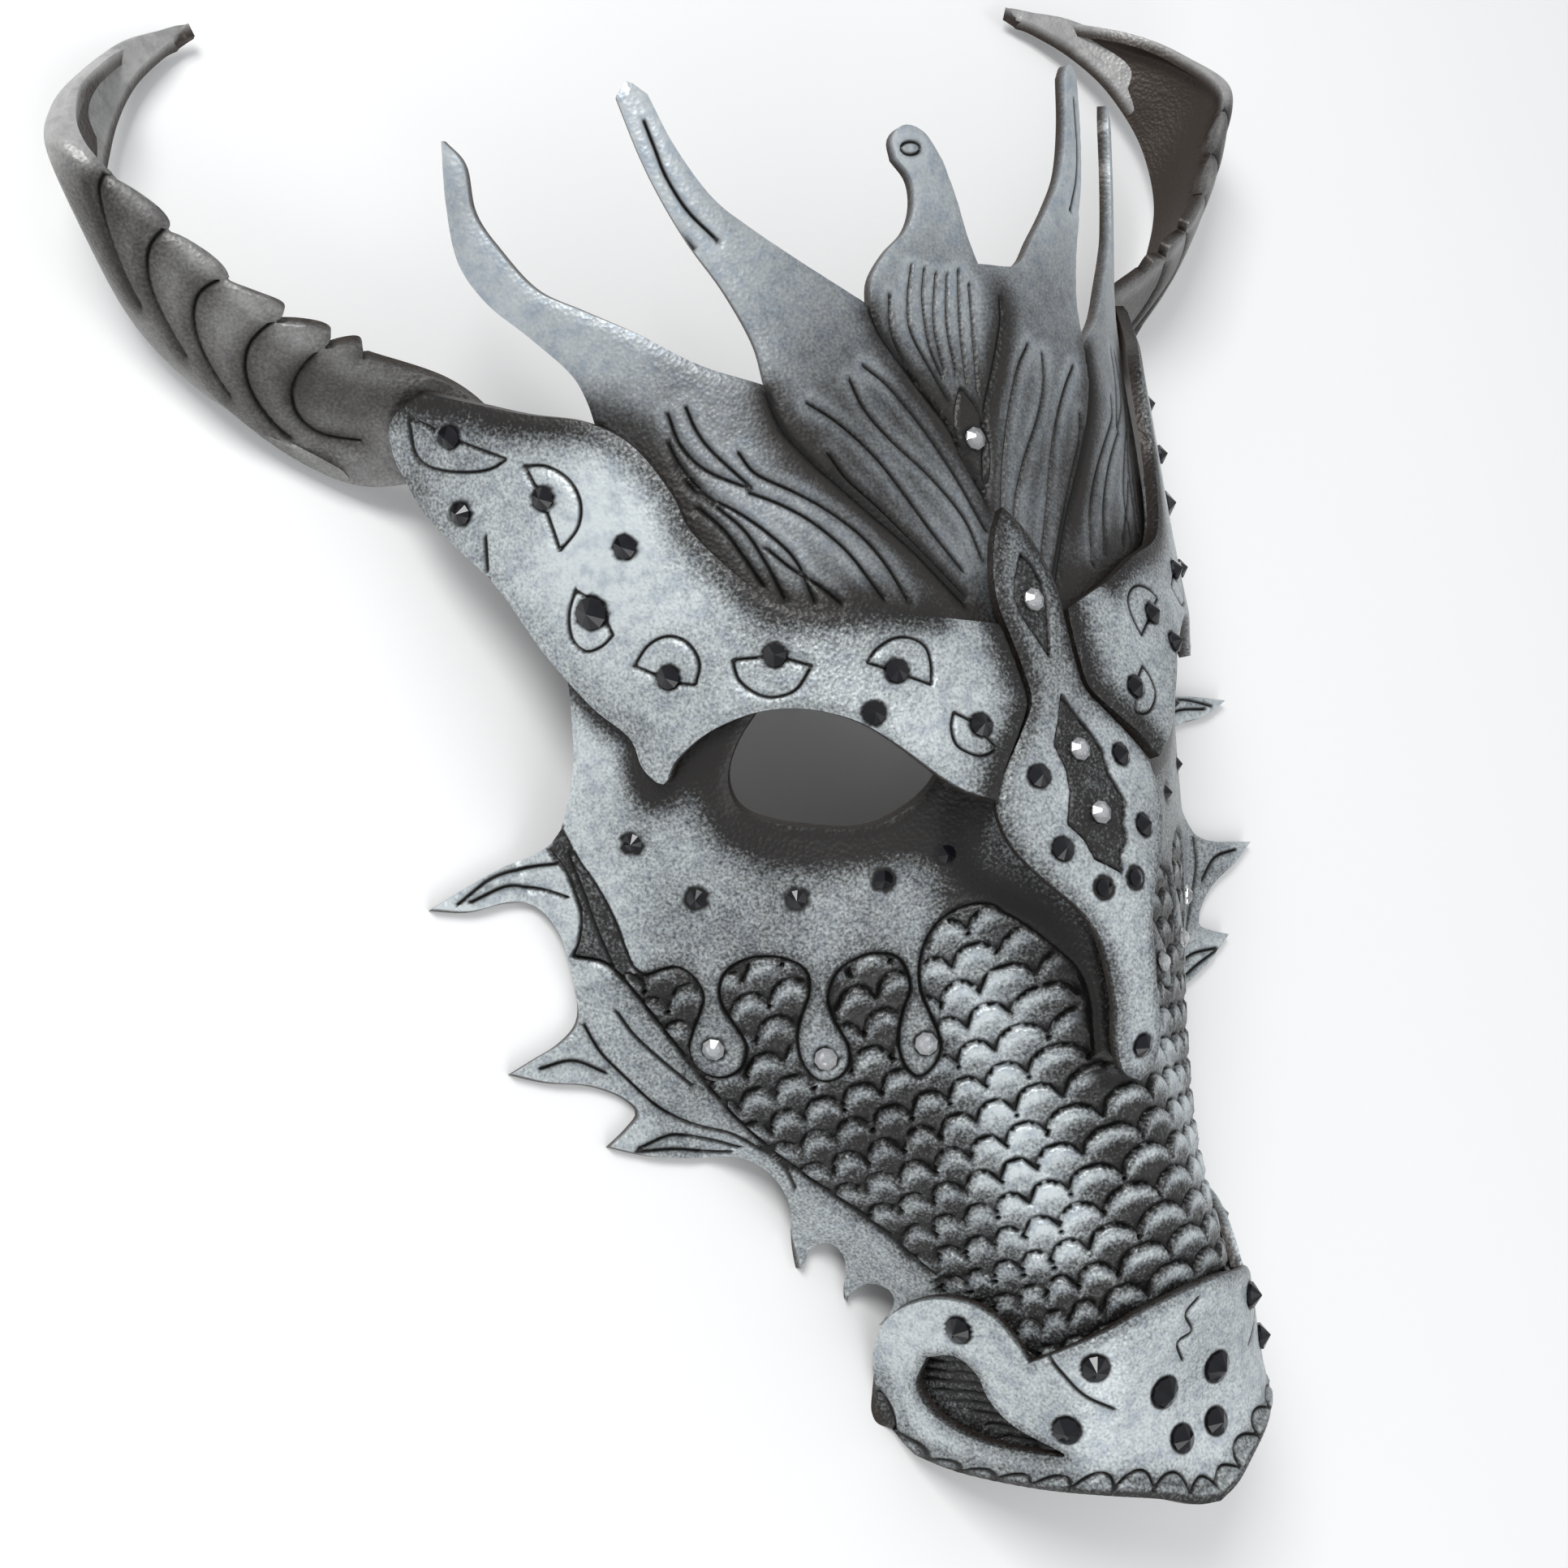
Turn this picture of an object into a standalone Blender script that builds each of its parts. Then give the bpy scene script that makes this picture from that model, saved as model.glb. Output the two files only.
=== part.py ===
"""A dragon face mask, cut, carved and shaped in leather and set with cut crystals.

It lies face up: +Z comes out of the face, +Y runs from the snout to the crown and +X is
the side of the mask's own left cheek. The rim of the face shell touches the plane z = 0, and
the horns and the muzzle plate stay just clear of it. Lengths are in millimetres until the
meshes are made, in metres.
"""
import math

import bmesh
import bpy
import numpy as np
from mathutils import Matrix
from mathutils.geometry import delaunay_2d_cdt

MILLIMETRE = 0.001

# Leather and its seams
LEATHER = 2.6           # thickness of every cut piece
STACK_GAP = 1.2         # air between two pieces laid one over the other
PLATE_GAP = 1.0         # air between two pieces laid side by side
LAYER = LEATHER + STACK_GAP

# Mesh fineness
FACET = 5.6             # spacing of the points inside a piece
EDGE_STEP = 4.6         # spacing of the points along a cut edge
NOSE_FACET = 4.5
MUZZLE_FACET = 5.0
NOSTRIL_STEP = 3.2
HORN_EDGE_STEP = 3.45
GROOVE_STEP = 5.0
EDGE_CLEAR = 0.42       # share of the spacing that inner points keep from a cut edge
CARVED_CLEAR = 0.55     # and from the points of a carved line or crest
CARVED_EDGE_CLEAR = 1.0     # what carved points keep from a cut edge
EDGE_SHARE = 0.9        # least height of a cut edge, as a share of the leather
CREASE = 40.0           # degrees past which an edge stays sharp

# Carving
SCALE_RISE = 0.7        # a scale's crest above the leather
SCALE_SINK = 0.5        # the bevelled foot behind a scale
SCALE_WIDE = 11.5       # width of a scale on the ridge of the snout
SCALE_NARROW = 7.6      # and on the cheeks
SCALE_ROW = 5.2         # distance from row to row
LEAF_STEP = 1.1         # the swelling of each leaf on a horn
LEAF_SPREAD = 3.6       # and its reach
GROOVE = 0.9            # depth of the mane's long grooves

# Crystals, each with its radius and height
SMALL_CRYSTAL, SMALL_HEIGHT = 1.9, 1.7
MUZZLE_CRYSTAL, MUZZLE_HEIGHT = 2.3, 2.1
BIG_CRYSTAL, BIG_HEIGHT = 2.7, 2.4
CLEAR_CRYSTAL, CLEAR_HEIGHT = 2.0, 1.2
CRYSTAL_SEAT = 0.5      # air under a crystal's flat back
CRYSTAL_SIDES = 6
GIRDLE = 0.3            # share of the height under a crystal's widest place
BACK_SHARE = 0.94       # its back's radius as a share of the widest
STONE_CLEAR = CLEAR_CRYSTAL + 2.4   # no scale's crest nearer than this to a crystal's middle

# Sections across the mask: place along the length, half width, rim height, crest height,
# fullness of the arch. The outermost level first: brow plates and, deeper, the mane.
BROW_SECTIONS = [
    (0, 72, 3, 62.6, 2.8),
    (27, 74, 3, 62.6, 2.8),
    (44, 76.5, 3, 62.6, 2.8),
    (62, 80, 3, 62.8, 2.8),
    (80, 83.5, 3, 64.3, 2.8),
    (102, 87.5, 3, 66.8, 2.8),
    (130, 97, 3, 71.5, 2.9),
    (152, 105, 3, 74.5, 3.0),
]
# The face shell, with the height of the narrow ridge along the nose at the end
FACE_SECTIONS = [
    (-114, 29, -1, 36.0, 4.0, 0),
    (-84, 32, -1, 36.5, 4.2, 0),
    (-68, 33.5, -1, 42.5, 3.4, 1),
    (-50, 38, 1, 44.0, 2.7, 4),
    (-30, 52, 0, 41.0, 2.4, 7.5),
    (-10, 63, 0, 40.0, 2.3, 14),
    (8, 70, 0, 43.0, 2.3, 15),
    (27, 74, 0, 48.0, 2.5, 10.5),
    (44, 76.5, 0, 55.0, 2.8, 3.5),
    (62, 80, 0, 58.5, 2.8, 0),
]
RIDGE_HALF = 12.0
RIM_ROUND = 5.0
BROW_FROM, BROW_TO = 30.0, 50.0     # where the shell leaves the brow plates' underside
# Crest of the nose plate along its length, and how fast it falls to its sides
NOSE_CREST = [(-40, 47.5), (-31, 52.8), (-15, 59.5), (0, 62.6), (30, 63.0), (70, 63.4)]
NOSE_FALL = 0.012


# Curves and surfaces

def along(rows, y):
    """Smooth values between the rows of a section table, for places y."""
    rows = np.array(rows, float)
    keys = rows[:, 0]
    y = np.clip(np.asarray(y, float), keys[0], keys[-1])
    i = np.clip(np.searchsorted(keys, y, side="right") - 1, 0, len(keys) - 2)
    slopes = np.gradient(rows, keys, axis=0)
    span = keys[i + 1] - keys[i]
    t = (y - keys[i]) / span
    values = []
    for c in range(1, rows.shape[1]):
        start, end = rows[i, c], rows[i + 1, c]
        leave, arrive = slopes[i, c] * span, slopes[i + 1, c] * span
        values.append((2 * t**3 - 3 * t**2 + 1) * start + (t**3 - 2 * t**2 + t) * leave
                      + (3 * t**2 - 2 * t**3) * end + (t**3 - t**2) * arrive)
    return values


def ease(low, high, value):
    t = np.clip((value - low) / (high - low), 0, 1)
    return t * t * (3 - 2 * t)


def arch(x, half, rim, crest, fullness):
    """Height of an arch that runs out flat past its rim."""
    rise = (crest - rim) * (1 - (np.abs(x) / half) ** fullness)
    return rim + 0.5 * (rise + np.sqrt(rise**2 + RIM_ROUND**2))


def surface_normals(points_at, x, y, step=0.2):
    across = points_at(x + step, y) - points_at(x - step, y)
    lengthwise = points_at(x, y + step) - points_at(x, y - step)
    normals = np.cross(across, lengthwise)
    return normals / np.linalg.norm(normals, axis=-1, keepdims=True)


def brow_points(x, y):
    half, rim, crest, full = along(BROW_SECTIONS, y)
    return np.stack([x, y, arch(x, half, rim, crest, full)], -1)


def lining_points(x, y):
    """The surface one layer under the brow plates, where the mane and horns begin."""
    return brow_points(x, y) - surface_normals(brow_points, x, y) * LAYER


def face_points(x, y):
    half, rim, crest, full, ridge = along(FACE_SECTIONS, y)
    z = arch(x, half, rim, crest, full) + ridge * np.exp(-(x / RIDGE_HALF) ** 2)
    bare = np.stack([x, y, z], -1)
    share = ease(BROW_FROM, BROW_TO, y)[..., None]
    return bare * (1 - share) + lining_points(x, y) * share


def muzzle_points(x, y):
    return face_points(x, y) + surface_normals(face_points, x, y) * LAYER


def nose_points(x, y):
    crest, = along(NOSE_CREST, y)
    return np.stack([x, y, crest - NOSE_FALL * x * x], -1)


def spline(points, steps=12):
    """Dense points of a smooth curve through the given ones."""
    p = np.array(points, float)
    if len(p) == 2:
        return np.linspace(p[0], p[1], steps + 1)
    p = np.vstack([2 * p[0] - p[1], p, 2 * p[-1] - p[-2]])
    out = []
    for k in range(1, len(p) - 2):
        for t in np.arange(steps) / steps:
            out.append(0.5 * (2 * p[k] + (p[k + 1] - p[k - 1]) * t
                              + (2 * p[k - 1] - 5 * p[k] + 4 * p[k + 1] - p[k + 2]) * t**2
                              + (3 * p[k] - p[k - 1] - 3 * p[k + 1] + p[k + 2]) * t**3))
    out.append(p[-2])
    return np.array(out)


def spaced(curve, step):
    """The curve's points at about one step from each other, both ends kept."""
    lengths = np.concatenate([[0], np.cumsum(np.linalg.norm(np.diff(curve, axis=0), axis=1))])
    count = max(1, round(lengths[-1] / step))
    places = np.linspace(0, lengths[-1], count + 1)
    return np.stack([np.interp(places, lengths, curve[:, c]) for c in range(curve.shape[1])], -1)


def outline(strokes, step=None):
    """A closed outline of smooth strokes that meet at corners."""
    loop = [spaced(spline(stroke), step or EDGE_STEP)[:-1] for stroke in strokes]
    return np.vstack(loop)


def mirrored(strokes):
    return [[(-x, y) for x, y in reversed(stroke)] for stroke in reversed(strokes)]


# Outlines, one side; each stroke is smooth and they meet at corners

NOSE_SIDE = [(0, 67.5), (3, 63.5), (5.4, 58), (6.6, 52), (6.1, 46), (5.6, 39), (6, 34.5),
             (9.5, 30), (14, 25), (17, 20.5), (17.2, 15), (15.5, 10), (12, 4.5), (8, -1),
             (5.8, -6), (5, -12), (4.6, -18), (5, -23.5), (3.6, -28.6), (0, -31)]
BROW_INNER_TOP = 48.5
BROW_INNER_FOOT = 20.0

BROW_TOP = [(19, 52), (28, 55.5), (37, 58), (42.5, 61.5), (47, 68), (51, 76), (52.5, 83), (56, 92),
            (61, 98), (67.5, 102.5), (74, 108), (79, 112.5)]
BROW_END = [(79, 112.5), (82.3, 110), (82.3, 105), (81.4, 101)]
BROW_LOW = [(81.4, 101), (80, 95), (77.5, 88), (73.5, 78), (70, 66), (66, 55), (62.6, 48), (61.8, 42.5),
            (60, 39), (58.2, 42), (54, 44.6), (48, 45.2), (42, 43.4), (36, 39.4), (31.5, 34.5), (26, 27)]
BROW_CORNER = [(26, 27), (22.5, 23.4)]


def brow_strokes():
    inner = [(x + PLATE_GAP, y) for x, y in NOSE_SIDE if BROW_INNER_FOOT < y < BROW_INNER_TOP]
    top = [(NOSE_SIDE[3][0] + PLATE_GAP, BROW_INNER_TOP)] + BROW_TOP
    return [top, BROW_END, BROW_LOW, BROW_CORNER + [inner[-1]], inner[::-1] + [top[0]]]


FACE_TOP = [(0, 42.5), (8, 43.5), (20, 47), (31, 51), (46, 59), (55, 68), (60, 74), (66, 73), (69, 66)]
CHEEK = [(69, 66), (69, 58), (69.5, 50), (70, 43), (70.8, 37.5), (73, 35.4), (78, 34.8),
         (85, 33.2), (92.5, 31)]
SPIKE_GAP = [(92.5, 31), (86, 29), (79, 28.8), (74.5, 27), (72.2, 22), (71.6, 16), (71.8, 10), (73, 5.6),
             (77, 3.2), (82, 2), (87, 0.8)]
JAW_NOTCH = [(87, 0.8), (81, -2.4), (74, -5), (69, -8.4), (66.6, -12), (69, -14), (73.5, -16)]
JAW = [(73.5, -16), (67, -19.6), (60, -22.2), (53.5, -24), (49.5, -27.5), (46.6, -33),
       (45, -39), (45, -47)]
BARB_ONE = [(45, -47), (41, -43.6), (38.4, -46.5), (37.6, -50.5), (38, -55.5)]
BARB_TWO = [(38, -55.5), (35.4, -53), (33.4, -55), (33, -58), (34, -61)]
SNOUT_END = [(34, -61), (32, -62), (31.4, -68), (31.2, -77), (28.8, -83.6), (23, -88.8), (14, -93),
             (6, -96.4), (0, -97.4)]
FACE_SIDE = [FACE_TOP, CHEEK, SPIKE_GAP, JAW_NOTCH, JAW, BARB_ONE, BARB_TWO, SNOUT_END]

EYE_LOW = [(17, 29.5), (19.5, 26.4), (23, 24.3), (28, 23), (33, 23.4), (39, 25.6), (44, 28),
           (48.5, 31.6), (51, 37), (50.5, 42), (47.5, 46.5)]
EYE_TOP = [(47.5, 46.5), (41, 48), (34, 45.6), (27, 41), (21, 35.6), (17, 29.5)]

MANE_FOOT = [(0, 44), (8, 45), (20, 48.4), (31, 52.4), (45, 60.4), (52, 68), (55.5, 78),
             (57, 88), (60.5, 96)]
OUTER_LOCK_OUT = [(60.5, 96), (61, 101), (62.5, 106), (67, 113.5), (71.5, 120.5), (74.4, 128),
                  (75, 137), (74.6, 145.5)]
OUTER_LOCK_IN = [(74.6, 145.5), (72.4, 141), (72, 134), (69.6, 127.5), (65.5, 119.6),
                 (60, 114.2), (53, 108), (45, 100.6), (36, 95)]
MID_LOCK_OUT = [(36, 95), (36.4, 102), (39.4, 110.6), (43.6, 119), (46.5, 126.5), (48.6, 134),
                (50.4, 143.4)]
MID_LOCK_TIP = [(50.4, 143.4), (48.4, 145.2), (45.6, 142.6)]
MID_LOCK_IN = [(45.6, 142.6), (43, 134), (38.6, 125), (33, 119), (26, 113), (20, 108.4), (14, 104)]
RING_LOCK_LEFT = [(-14, 104), (-12.6, 108.4), (-8.4, 112.4), (-3.4, 115.6), (-0.8, 119.6),
                  (-0.4, 124), (-2.6, 127.6)]
RING_LOCK_TIP = [(-2.6, 127.6), (-2.4, 131), (0.6, 133), (4.4, 131.4), (7, 126.6)]
RING_LOCK_RIGHT = [(7, 126.6), (8.4, 120), (9.2, 114), (10.4, 109)]


def mane_strokes():
    """The crown: two locks on each side and the ring-tipped lock that curls between them."""
    side = [MANE_FOOT, OUTER_LOCK_OUT, OUTER_LOCK_IN, MID_LOCK_OUT, MID_LOCK_TIP]
    to_ring = MID_LOCK_IN[:-1] + RING_LOCK_RIGHT[-1:]
    ring = [stroke[::-1] for stroke in (RING_LOCK_RIGHT, RING_LOCK_TIP, RING_LOCK_LEFT)]
    return side + [to_ring] + ring + mirrored(side + [MID_LOCK_IN])


MUZZLE_TOP = [(0, -66), (8, -66.6), (16, -68.6), (22.4, -70.4)]
MUZZLE_LOBE = [(22.4, -70.4), (23.4, -66), (24.6, -62), (26.6, -58.6), (29.4, -56.6),
               (32, -57.4), (33.4, -60.6), (34, -66), (34, -72), (33.6, -78), (31.6, -84)]
MUZZLE_FRONT = [(31.6, -84), (28.6, -88), (24, -91.6), (18, -95), (11, -99), (5, -102.6), (0, -104)]
NOSTRIL = [(30, -66.6), (28, -67.2), (26.6, -71), (26, -76), (24.4, -81), (20.6, -87),
           (23.6, -85.6), (27, -83), (29.6, -78.4), (30.8, -72), (30, -66.6)]


# Carving on the outer side

# Inner edge of the jaw band: place along the mask and distance from its middle
JAW_LINE = [(-62, 28), (-53, 30.5), (-44, 36), (-31, 45), (-16, 54.5), (0, 61.5), (12, 66.5), (18, 70)]
JAW_CLEAR = 1.5         # the scales stay this far inside it
DRIP_LEVEL = 4.0        # the smooth cheeks end in a row of rounded drips about here
DRIP_START = 20.0
DRIP_SLANT = 0.22
DRIP_DEPTH = 5.5
DRIP_PITCH = 13.6
SCALES_TO = 46.0        # reach of the scales across and along the snout
SCALES_FROM_Y, SCALES_TO_Y = -66.0, 8.0
SCALE_SEARCH = 0.5      # fineness of the search for the crests' places
ROW_NEAR, COLUMN_NEAR = 0.055, 0.045    # how near a place must be, as shares of a row and column
SCALE_APART = 2.2
CREST_TURN, FOOT_TURN = 0.45, 0.95      # where a scale's crest and foot lie within its row
ROW_BOW = 0.06          # how the rows bow towards the snout at the sides
GIRTH_SHARE = 0.55      # how far the columns follow the slope of the sides
RIDGE_GIRTH = 16.0      # reach of the wide scales of the ridge


def snout_frame(x, y):
    """Column and row of the scales over the snout, as smooth numbers."""
    half, rim, crest, full, ridge = along(FACE_SECTIONS, y)
    slope = (crest - rim) * full / half * (np.abs(x) / half) ** (full - 1)
    girth = np.abs(x) * np.sqrt(1 + (GIRTH_SHARE * slope) ** 2)
    share = np.exp(-(girth / RIDGE_GIRTH) ** 2)
    column = np.sign(x) * girth / (SCALE_NARROW + (SCALE_WIDE - SCALE_NARROW) * share)
    return column, (-y - ROW_BOW * girth) / SCALE_ROW


def drip_line(x):
    """Lower edge of the smooth cheek, which hangs down in rounded drips."""
    fall = DRIP_SLANT * max(0.0, x - DRIP_START)
    return DRIP_LEVEL - fall + DRIP_DEPTH * math.cos(2 * math.pi * (x - DRIP_START) / DRIP_PITCH)


def in_scales(x, y):
    """Where the snout is scaled: below the drips and inside the jaw band."""
    clear = all(math.dist((abs(x), y), stone) > STONE_CLEAR for stone in DRIP_CRYSTALS)
    return clear and y < drip_line(abs(x)) and abs(x) < float(along(JAW_LINE, y)[0]) - JAW_CLEAR


def scale_points():
    """Places and heights of the scales' crests and feet."""
    places, rises = [], []
    for x in np.arange(-SCALES_TO, SCALES_TO + 0.1, SCALE_SEARCH):
        for y in np.arange(SCALES_FROM_Y, SCALES_TO_Y, SCALE_SEARCH):
            column, row = snout_frame(x, y)
            for turn, rise in ((CREST_TURN, SCALE_RISE), (FOOT_TURN, -SCALE_SINK)):
                level = round(float(row) - turn)
                shift = 0.5 * (level % 2)
                centre = round(float(column) - shift) + shift
                near = abs(row - turn - level) < ROW_NEAR and abs(column - centre) < COLUMN_NEAR
                if near and in_scales(x, y) and all(math.dist((x, y), p) > SCALE_APART for p in places):
                    places.append((x, y))
                    rises.append(rise)
    return places, rises


# The long lines that part the hair, right half
MANE_GROOVES = [
    [(31, 80), (38, 74), (48, 70)],
    [(34, 90), (42, 86), (50, 80)],
    [(28, 74), (36, 68), (44, 64)],
    [(12, 100), (14, 86), (11, 72), (7, 62)],
    [(20, 98), (21, 84), (17, 70), (9, 58)],
    [(27, 92), (26, 82), (20, 68), (12, 56)],
]


def groove_points():
    """Points along the mane's grooves, both halves, with their depths."""
    lines = [spaced(spline(line), GROOVE_STEP) for line in MANE_GROOVES]
    places = np.vstack(lines + [line * (-1, 1) for line in lines])
    return places, [-GROOVE] * len(places)


def carved(places, rises):
    """A relief that lifts or sinks just the points at the given places."""
    height_of = {(round(float(x), 3), round(float(y), 3)): rise for (x, y), rise in zip(places, rises)}

    def relief(flat):
        return np.array([height_of.get((round(float(x), 3), round(float(y), 3)), 0.0) for x, y in flat])

    return relief


# Solids from sheets

def inside(points, loop):
    """Which points lie inside a closed loop."""
    x, y = points[:, 0][:, None], points[:, 1][:, None]
    ax, ay = loop[:, 0][None], loop[:, 1][None]
    bx, by = np.roll(loop[:, 0], -1)[None], np.roll(loop[:, 1], -1)[None]
    spans = (ay > y) != (by > y)
    cross_x = ax + (y - ay) * (bx - ax) / np.where(by == ay, 1e-9, by - ay)
    return ((spans & (x < cross_x)).sum(axis=1) % 2) == 1


def distance_to(points, loop):
    """Distance from points to a closed loop's edges."""
    a = loop[None]
    edge = (np.roll(loop, -1, axis=0) - loop)[None]
    to_point = points[:, None] - a
    t = np.clip((to_point * edge).sum(-1) / np.maximum((edge**2).sum(-1), 1e-12), 0, 1)
    return np.linalg.norm(to_point - edge * t[..., None], axis=-1).min(axis=1)


def filling(loops, step, extra):
    """Points of a triangle grid inside the outline and clear of it, with the carved points."""
    low, high = loops[0].min(axis=0), loops[0].max(axis=0)
    middle = 0.5 * (low[0] + high[0])
    reach = math.ceil((high[0] - low[0]) / step)
    grid = []
    for k, y in enumerate(np.arange(low[1], high[1], step * math.sqrt(3) / 2)):
        shift = 0.5 * (k % 2)
        grid += [(middle + step * (shift + c), y) for c in range(-reach, reach + 1)]
    grid = np.array(grid)
    extra = np.array(extra, float).reshape(-1, 2)
    if len(extra):
        gaps = np.linalg.norm(grid[:, None] - extra[None], axis=-1).min(axis=1)
        grid = grid[gaps > CARVED_CLEAR * step]
    points = np.vstack([grid, extra])
    clear = np.full(len(points), EDGE_CLEAR * step)
    clear[len(grid):] = CARVED_EDGE_CLEAR
    keep = inside(points, loops[0]) & (distance_to(points, loops[0]) > clear)
    for hole in loops[1:]:
        keep &= ~inside(points, hole) & (distance_to(points, hole) > clear)
    return points[keep]


def sheet_mesh(loops, points_at, relief=None, extra=(), step=None):
    """Vertices and faces of a sheet of leather that follows a surface."""
    inner = filling(loops, step or FACET, extra)
    flat, edges = [], []
    for loop in loops:
        start = len(flat)
        flat += [tuple(p) for p in loop]
        edges += [(start + k, start + (k + 1) % len(loop)) for k in range(len(loop))]
    flat += [tuple(p) for p in inner]
    placed, _, faces, *_ = delaunay_2d_cdt(flat, edges, [], 0, 1e-5)
    flat = np.array([tuple(p) for p in placed])
    centres = np.array([flat[list(f)].mean(axis=0) for f in faces])
    keep = inside(centres, loops[0])
    for hole in loops[1:]:
        keep &= ~inside(centres, hole)
    faces = [tuple(f) for f, k in zip(faces, keep) if k]
    outer = points_at(flat[:, 0], flat[:, 1])
    normals = surface_normals(points_at, flat[:, 0], flat[:, 1])
    back = outer - normals * LEATHER
    back[:, 2] = np.maximum(back[:, 2], 0.0)
    outer[:, 2] = np.maximum(outer[:, 2], back[:, 2] + EDGE_SHARE * LEATHER * np.abs(normals[:, 2]))
    if relief is not None:
        outer = outer + normals * relief(flat)[:, None]
    return outer, back, faces


def solid(name, sheet, material, mirror=False):
    """One closed object from a sheet's outer and back side."""
    outer, back, faces = sheet
    count = len(outer)
    vertices = np.vstack([outer, back])
    if mirror:
        vertices[:, 0] *= -1
        faces = [f[::-1] for f in faces]
    directed = {(f[k], f[(k + 1) % 3]) for f in faces for k in range(3)}
    rim = [(a, b) for a, b in directed if (b, a) not in directed]
    quads = [(b, a, a + count, b + count) for a, b in sorted(rim)]
    under = [tuple(v + count for v in reversed(f)) for f in faces]
    mesh = bpy.data.meshes.new(name)
    mesh.from_pydata((vertices * MILLIMETRE).tolist(), [], faces + under + quads)
    shape = bmesh.new()
    shape.from_mesh(mesh)
    loose = [v for v in shape.verts if not v.link_faces]
    bmesh.ops.delete(shape, geom=loose, context="VERTS")
    bmesh.ops.triangulate(shape, faces=shape.faces)
    bmesh.ops.recalc_face_normals(shape, faces=shape.faces)
    shape.to_mesh(mesh)
    shape.free()
    mesh.shade_smooth()
    mesh.set_sharp_from_angle(angle=math.radians(CREASE))
    piece = bpy.data.objects.new(name, mesh)
    piece.data.materials.append(material)
    bpy.context.scene.collection.objects.link(piece)
    return piece


# Horns: three lines along each horn, and a bowed section through them

HORN_LOWER = [(86, 104, 4.8), (99, 115, 3.2), (110, 127, 3), (117, 140, 4), (117.5, 155, 4.6),
              (112.5, 168, 4.4), (105.5, 178, 2.4), (98, 184.4, 0.8), (92, 188.6, 0.2)]
HORN_MIDDLE = [(92.5, 112, 9), (105, 120.4, 12.5), (115, 133.4, 17.4), (122, 144.6, 21),
               (127, 157.6, 21.6), (122.6, 168, 15.6), (114, 177.4, 9.6), (104, 185.2, 4.6),
               (91.6, 189.6, 2.6)]
HORN_UPPER = [(86, 118.4, 25), (94, 122.4, 26.6), (104, 130.6, 28), (113, 143.6, 27.6),
              (122, 156.6, 27.6), (119.6, 168.6, 21.4), (112.6, 176.6, 16), (103.6, 184.4, 7),
              (91.2, 190, 3.6)]
HORN_ROOT = [(75, 96), (74.5, 102.5), (70, 108)]
HORN_ROOT_OUT = [(80.5, 99.5), (80.5, 106), (77, 111.5)]
HORN_TUCK = 1.0         # how much deeper than the mane a horn's root lies
HORN_LEAST = 2.5        # its least width, at the tip
LEAVES = 5
LEAF_FROM, LEAF_TO = 2.0, 5.6
LEAF_NOTCH = 0.93       # share of the horn's width at the notches between the leaves
LEAF_BULGE = 0.11
LEAF_PLACE = 0.86       # share of the width at which a leaf swells most
LINE_STEPS = 16         # points between two stations of a horn's lines


def horn_stations():
    """The lower, middle and upper line of a horn, from under the brow plate to the tip."""
    lines = []
    for root, root_out, line in zip(HORN_ROOT, HORN_ROOT_OUT, (HORN_LOWER, HORN_MIDDLE, HORN_UPPER)):
        x, y = np.array([root, root_out], float).T
        inward = surface_normals(brow_points, x, y)
        tucked = brow_points(x, y) - inward * (LAYER + HORN_TUCK)
        lines.append(np.vstack([tucked, np.array(line, float)]))
    return lines


def horn_surface():
    """A function that gives the horn's points for a place along and across it."""
    lines = [spline(line, LINE_STEPS) for line in horn_stations()]
    middle = lines[1]
    lengths = np.concatenate([[0], np.cumsum(np.linalg.norm(np.diff(middle, axis=0), axis=1))])
    stations = np.arange(len(middle)) / LINE_STEPS

    def point_of(line, fine):
        places = np.arange(len(line))
        return np.stack([np.interp(fine, places, line[:, c]) for c in range(3)], -1)

    def points_at(a, b):
        fine = np.interp(a, lengths, stations) * LINE_STEPS
        low, mid, up = [point_of(line, fine) for line in lines]
        v = (b / horn_width(low, mid, up))[..., None]
        return low * (1 - v) * (1 - 2 * v) + mid * 4 * v * (1 - v) + up * v * (2 * v - 1)

    return points_at, lengths, lines, stations


def horn_width(low, mid, up):
    width = np.linalg.norm(mid - low, axis=-1) + np.linalg.norm(up - mid, axis=-1)
    return np.maximum(width, HORN_LEAST)


def leaf_edge(station):
    """Share of the width that the leaves reach, bulging between their notches."""
    if not LEAF_FROM < station < LEAF_TO:
        return 1.0
    turn = (station - LEAF_FROM) / (LEAF_TO - LEAF_FROM) * LEAVES % 1.0
    return LEAF_NOTCH + LEAF_BULGE * math.sqrt(math.sin(math.pi * turn))


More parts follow.
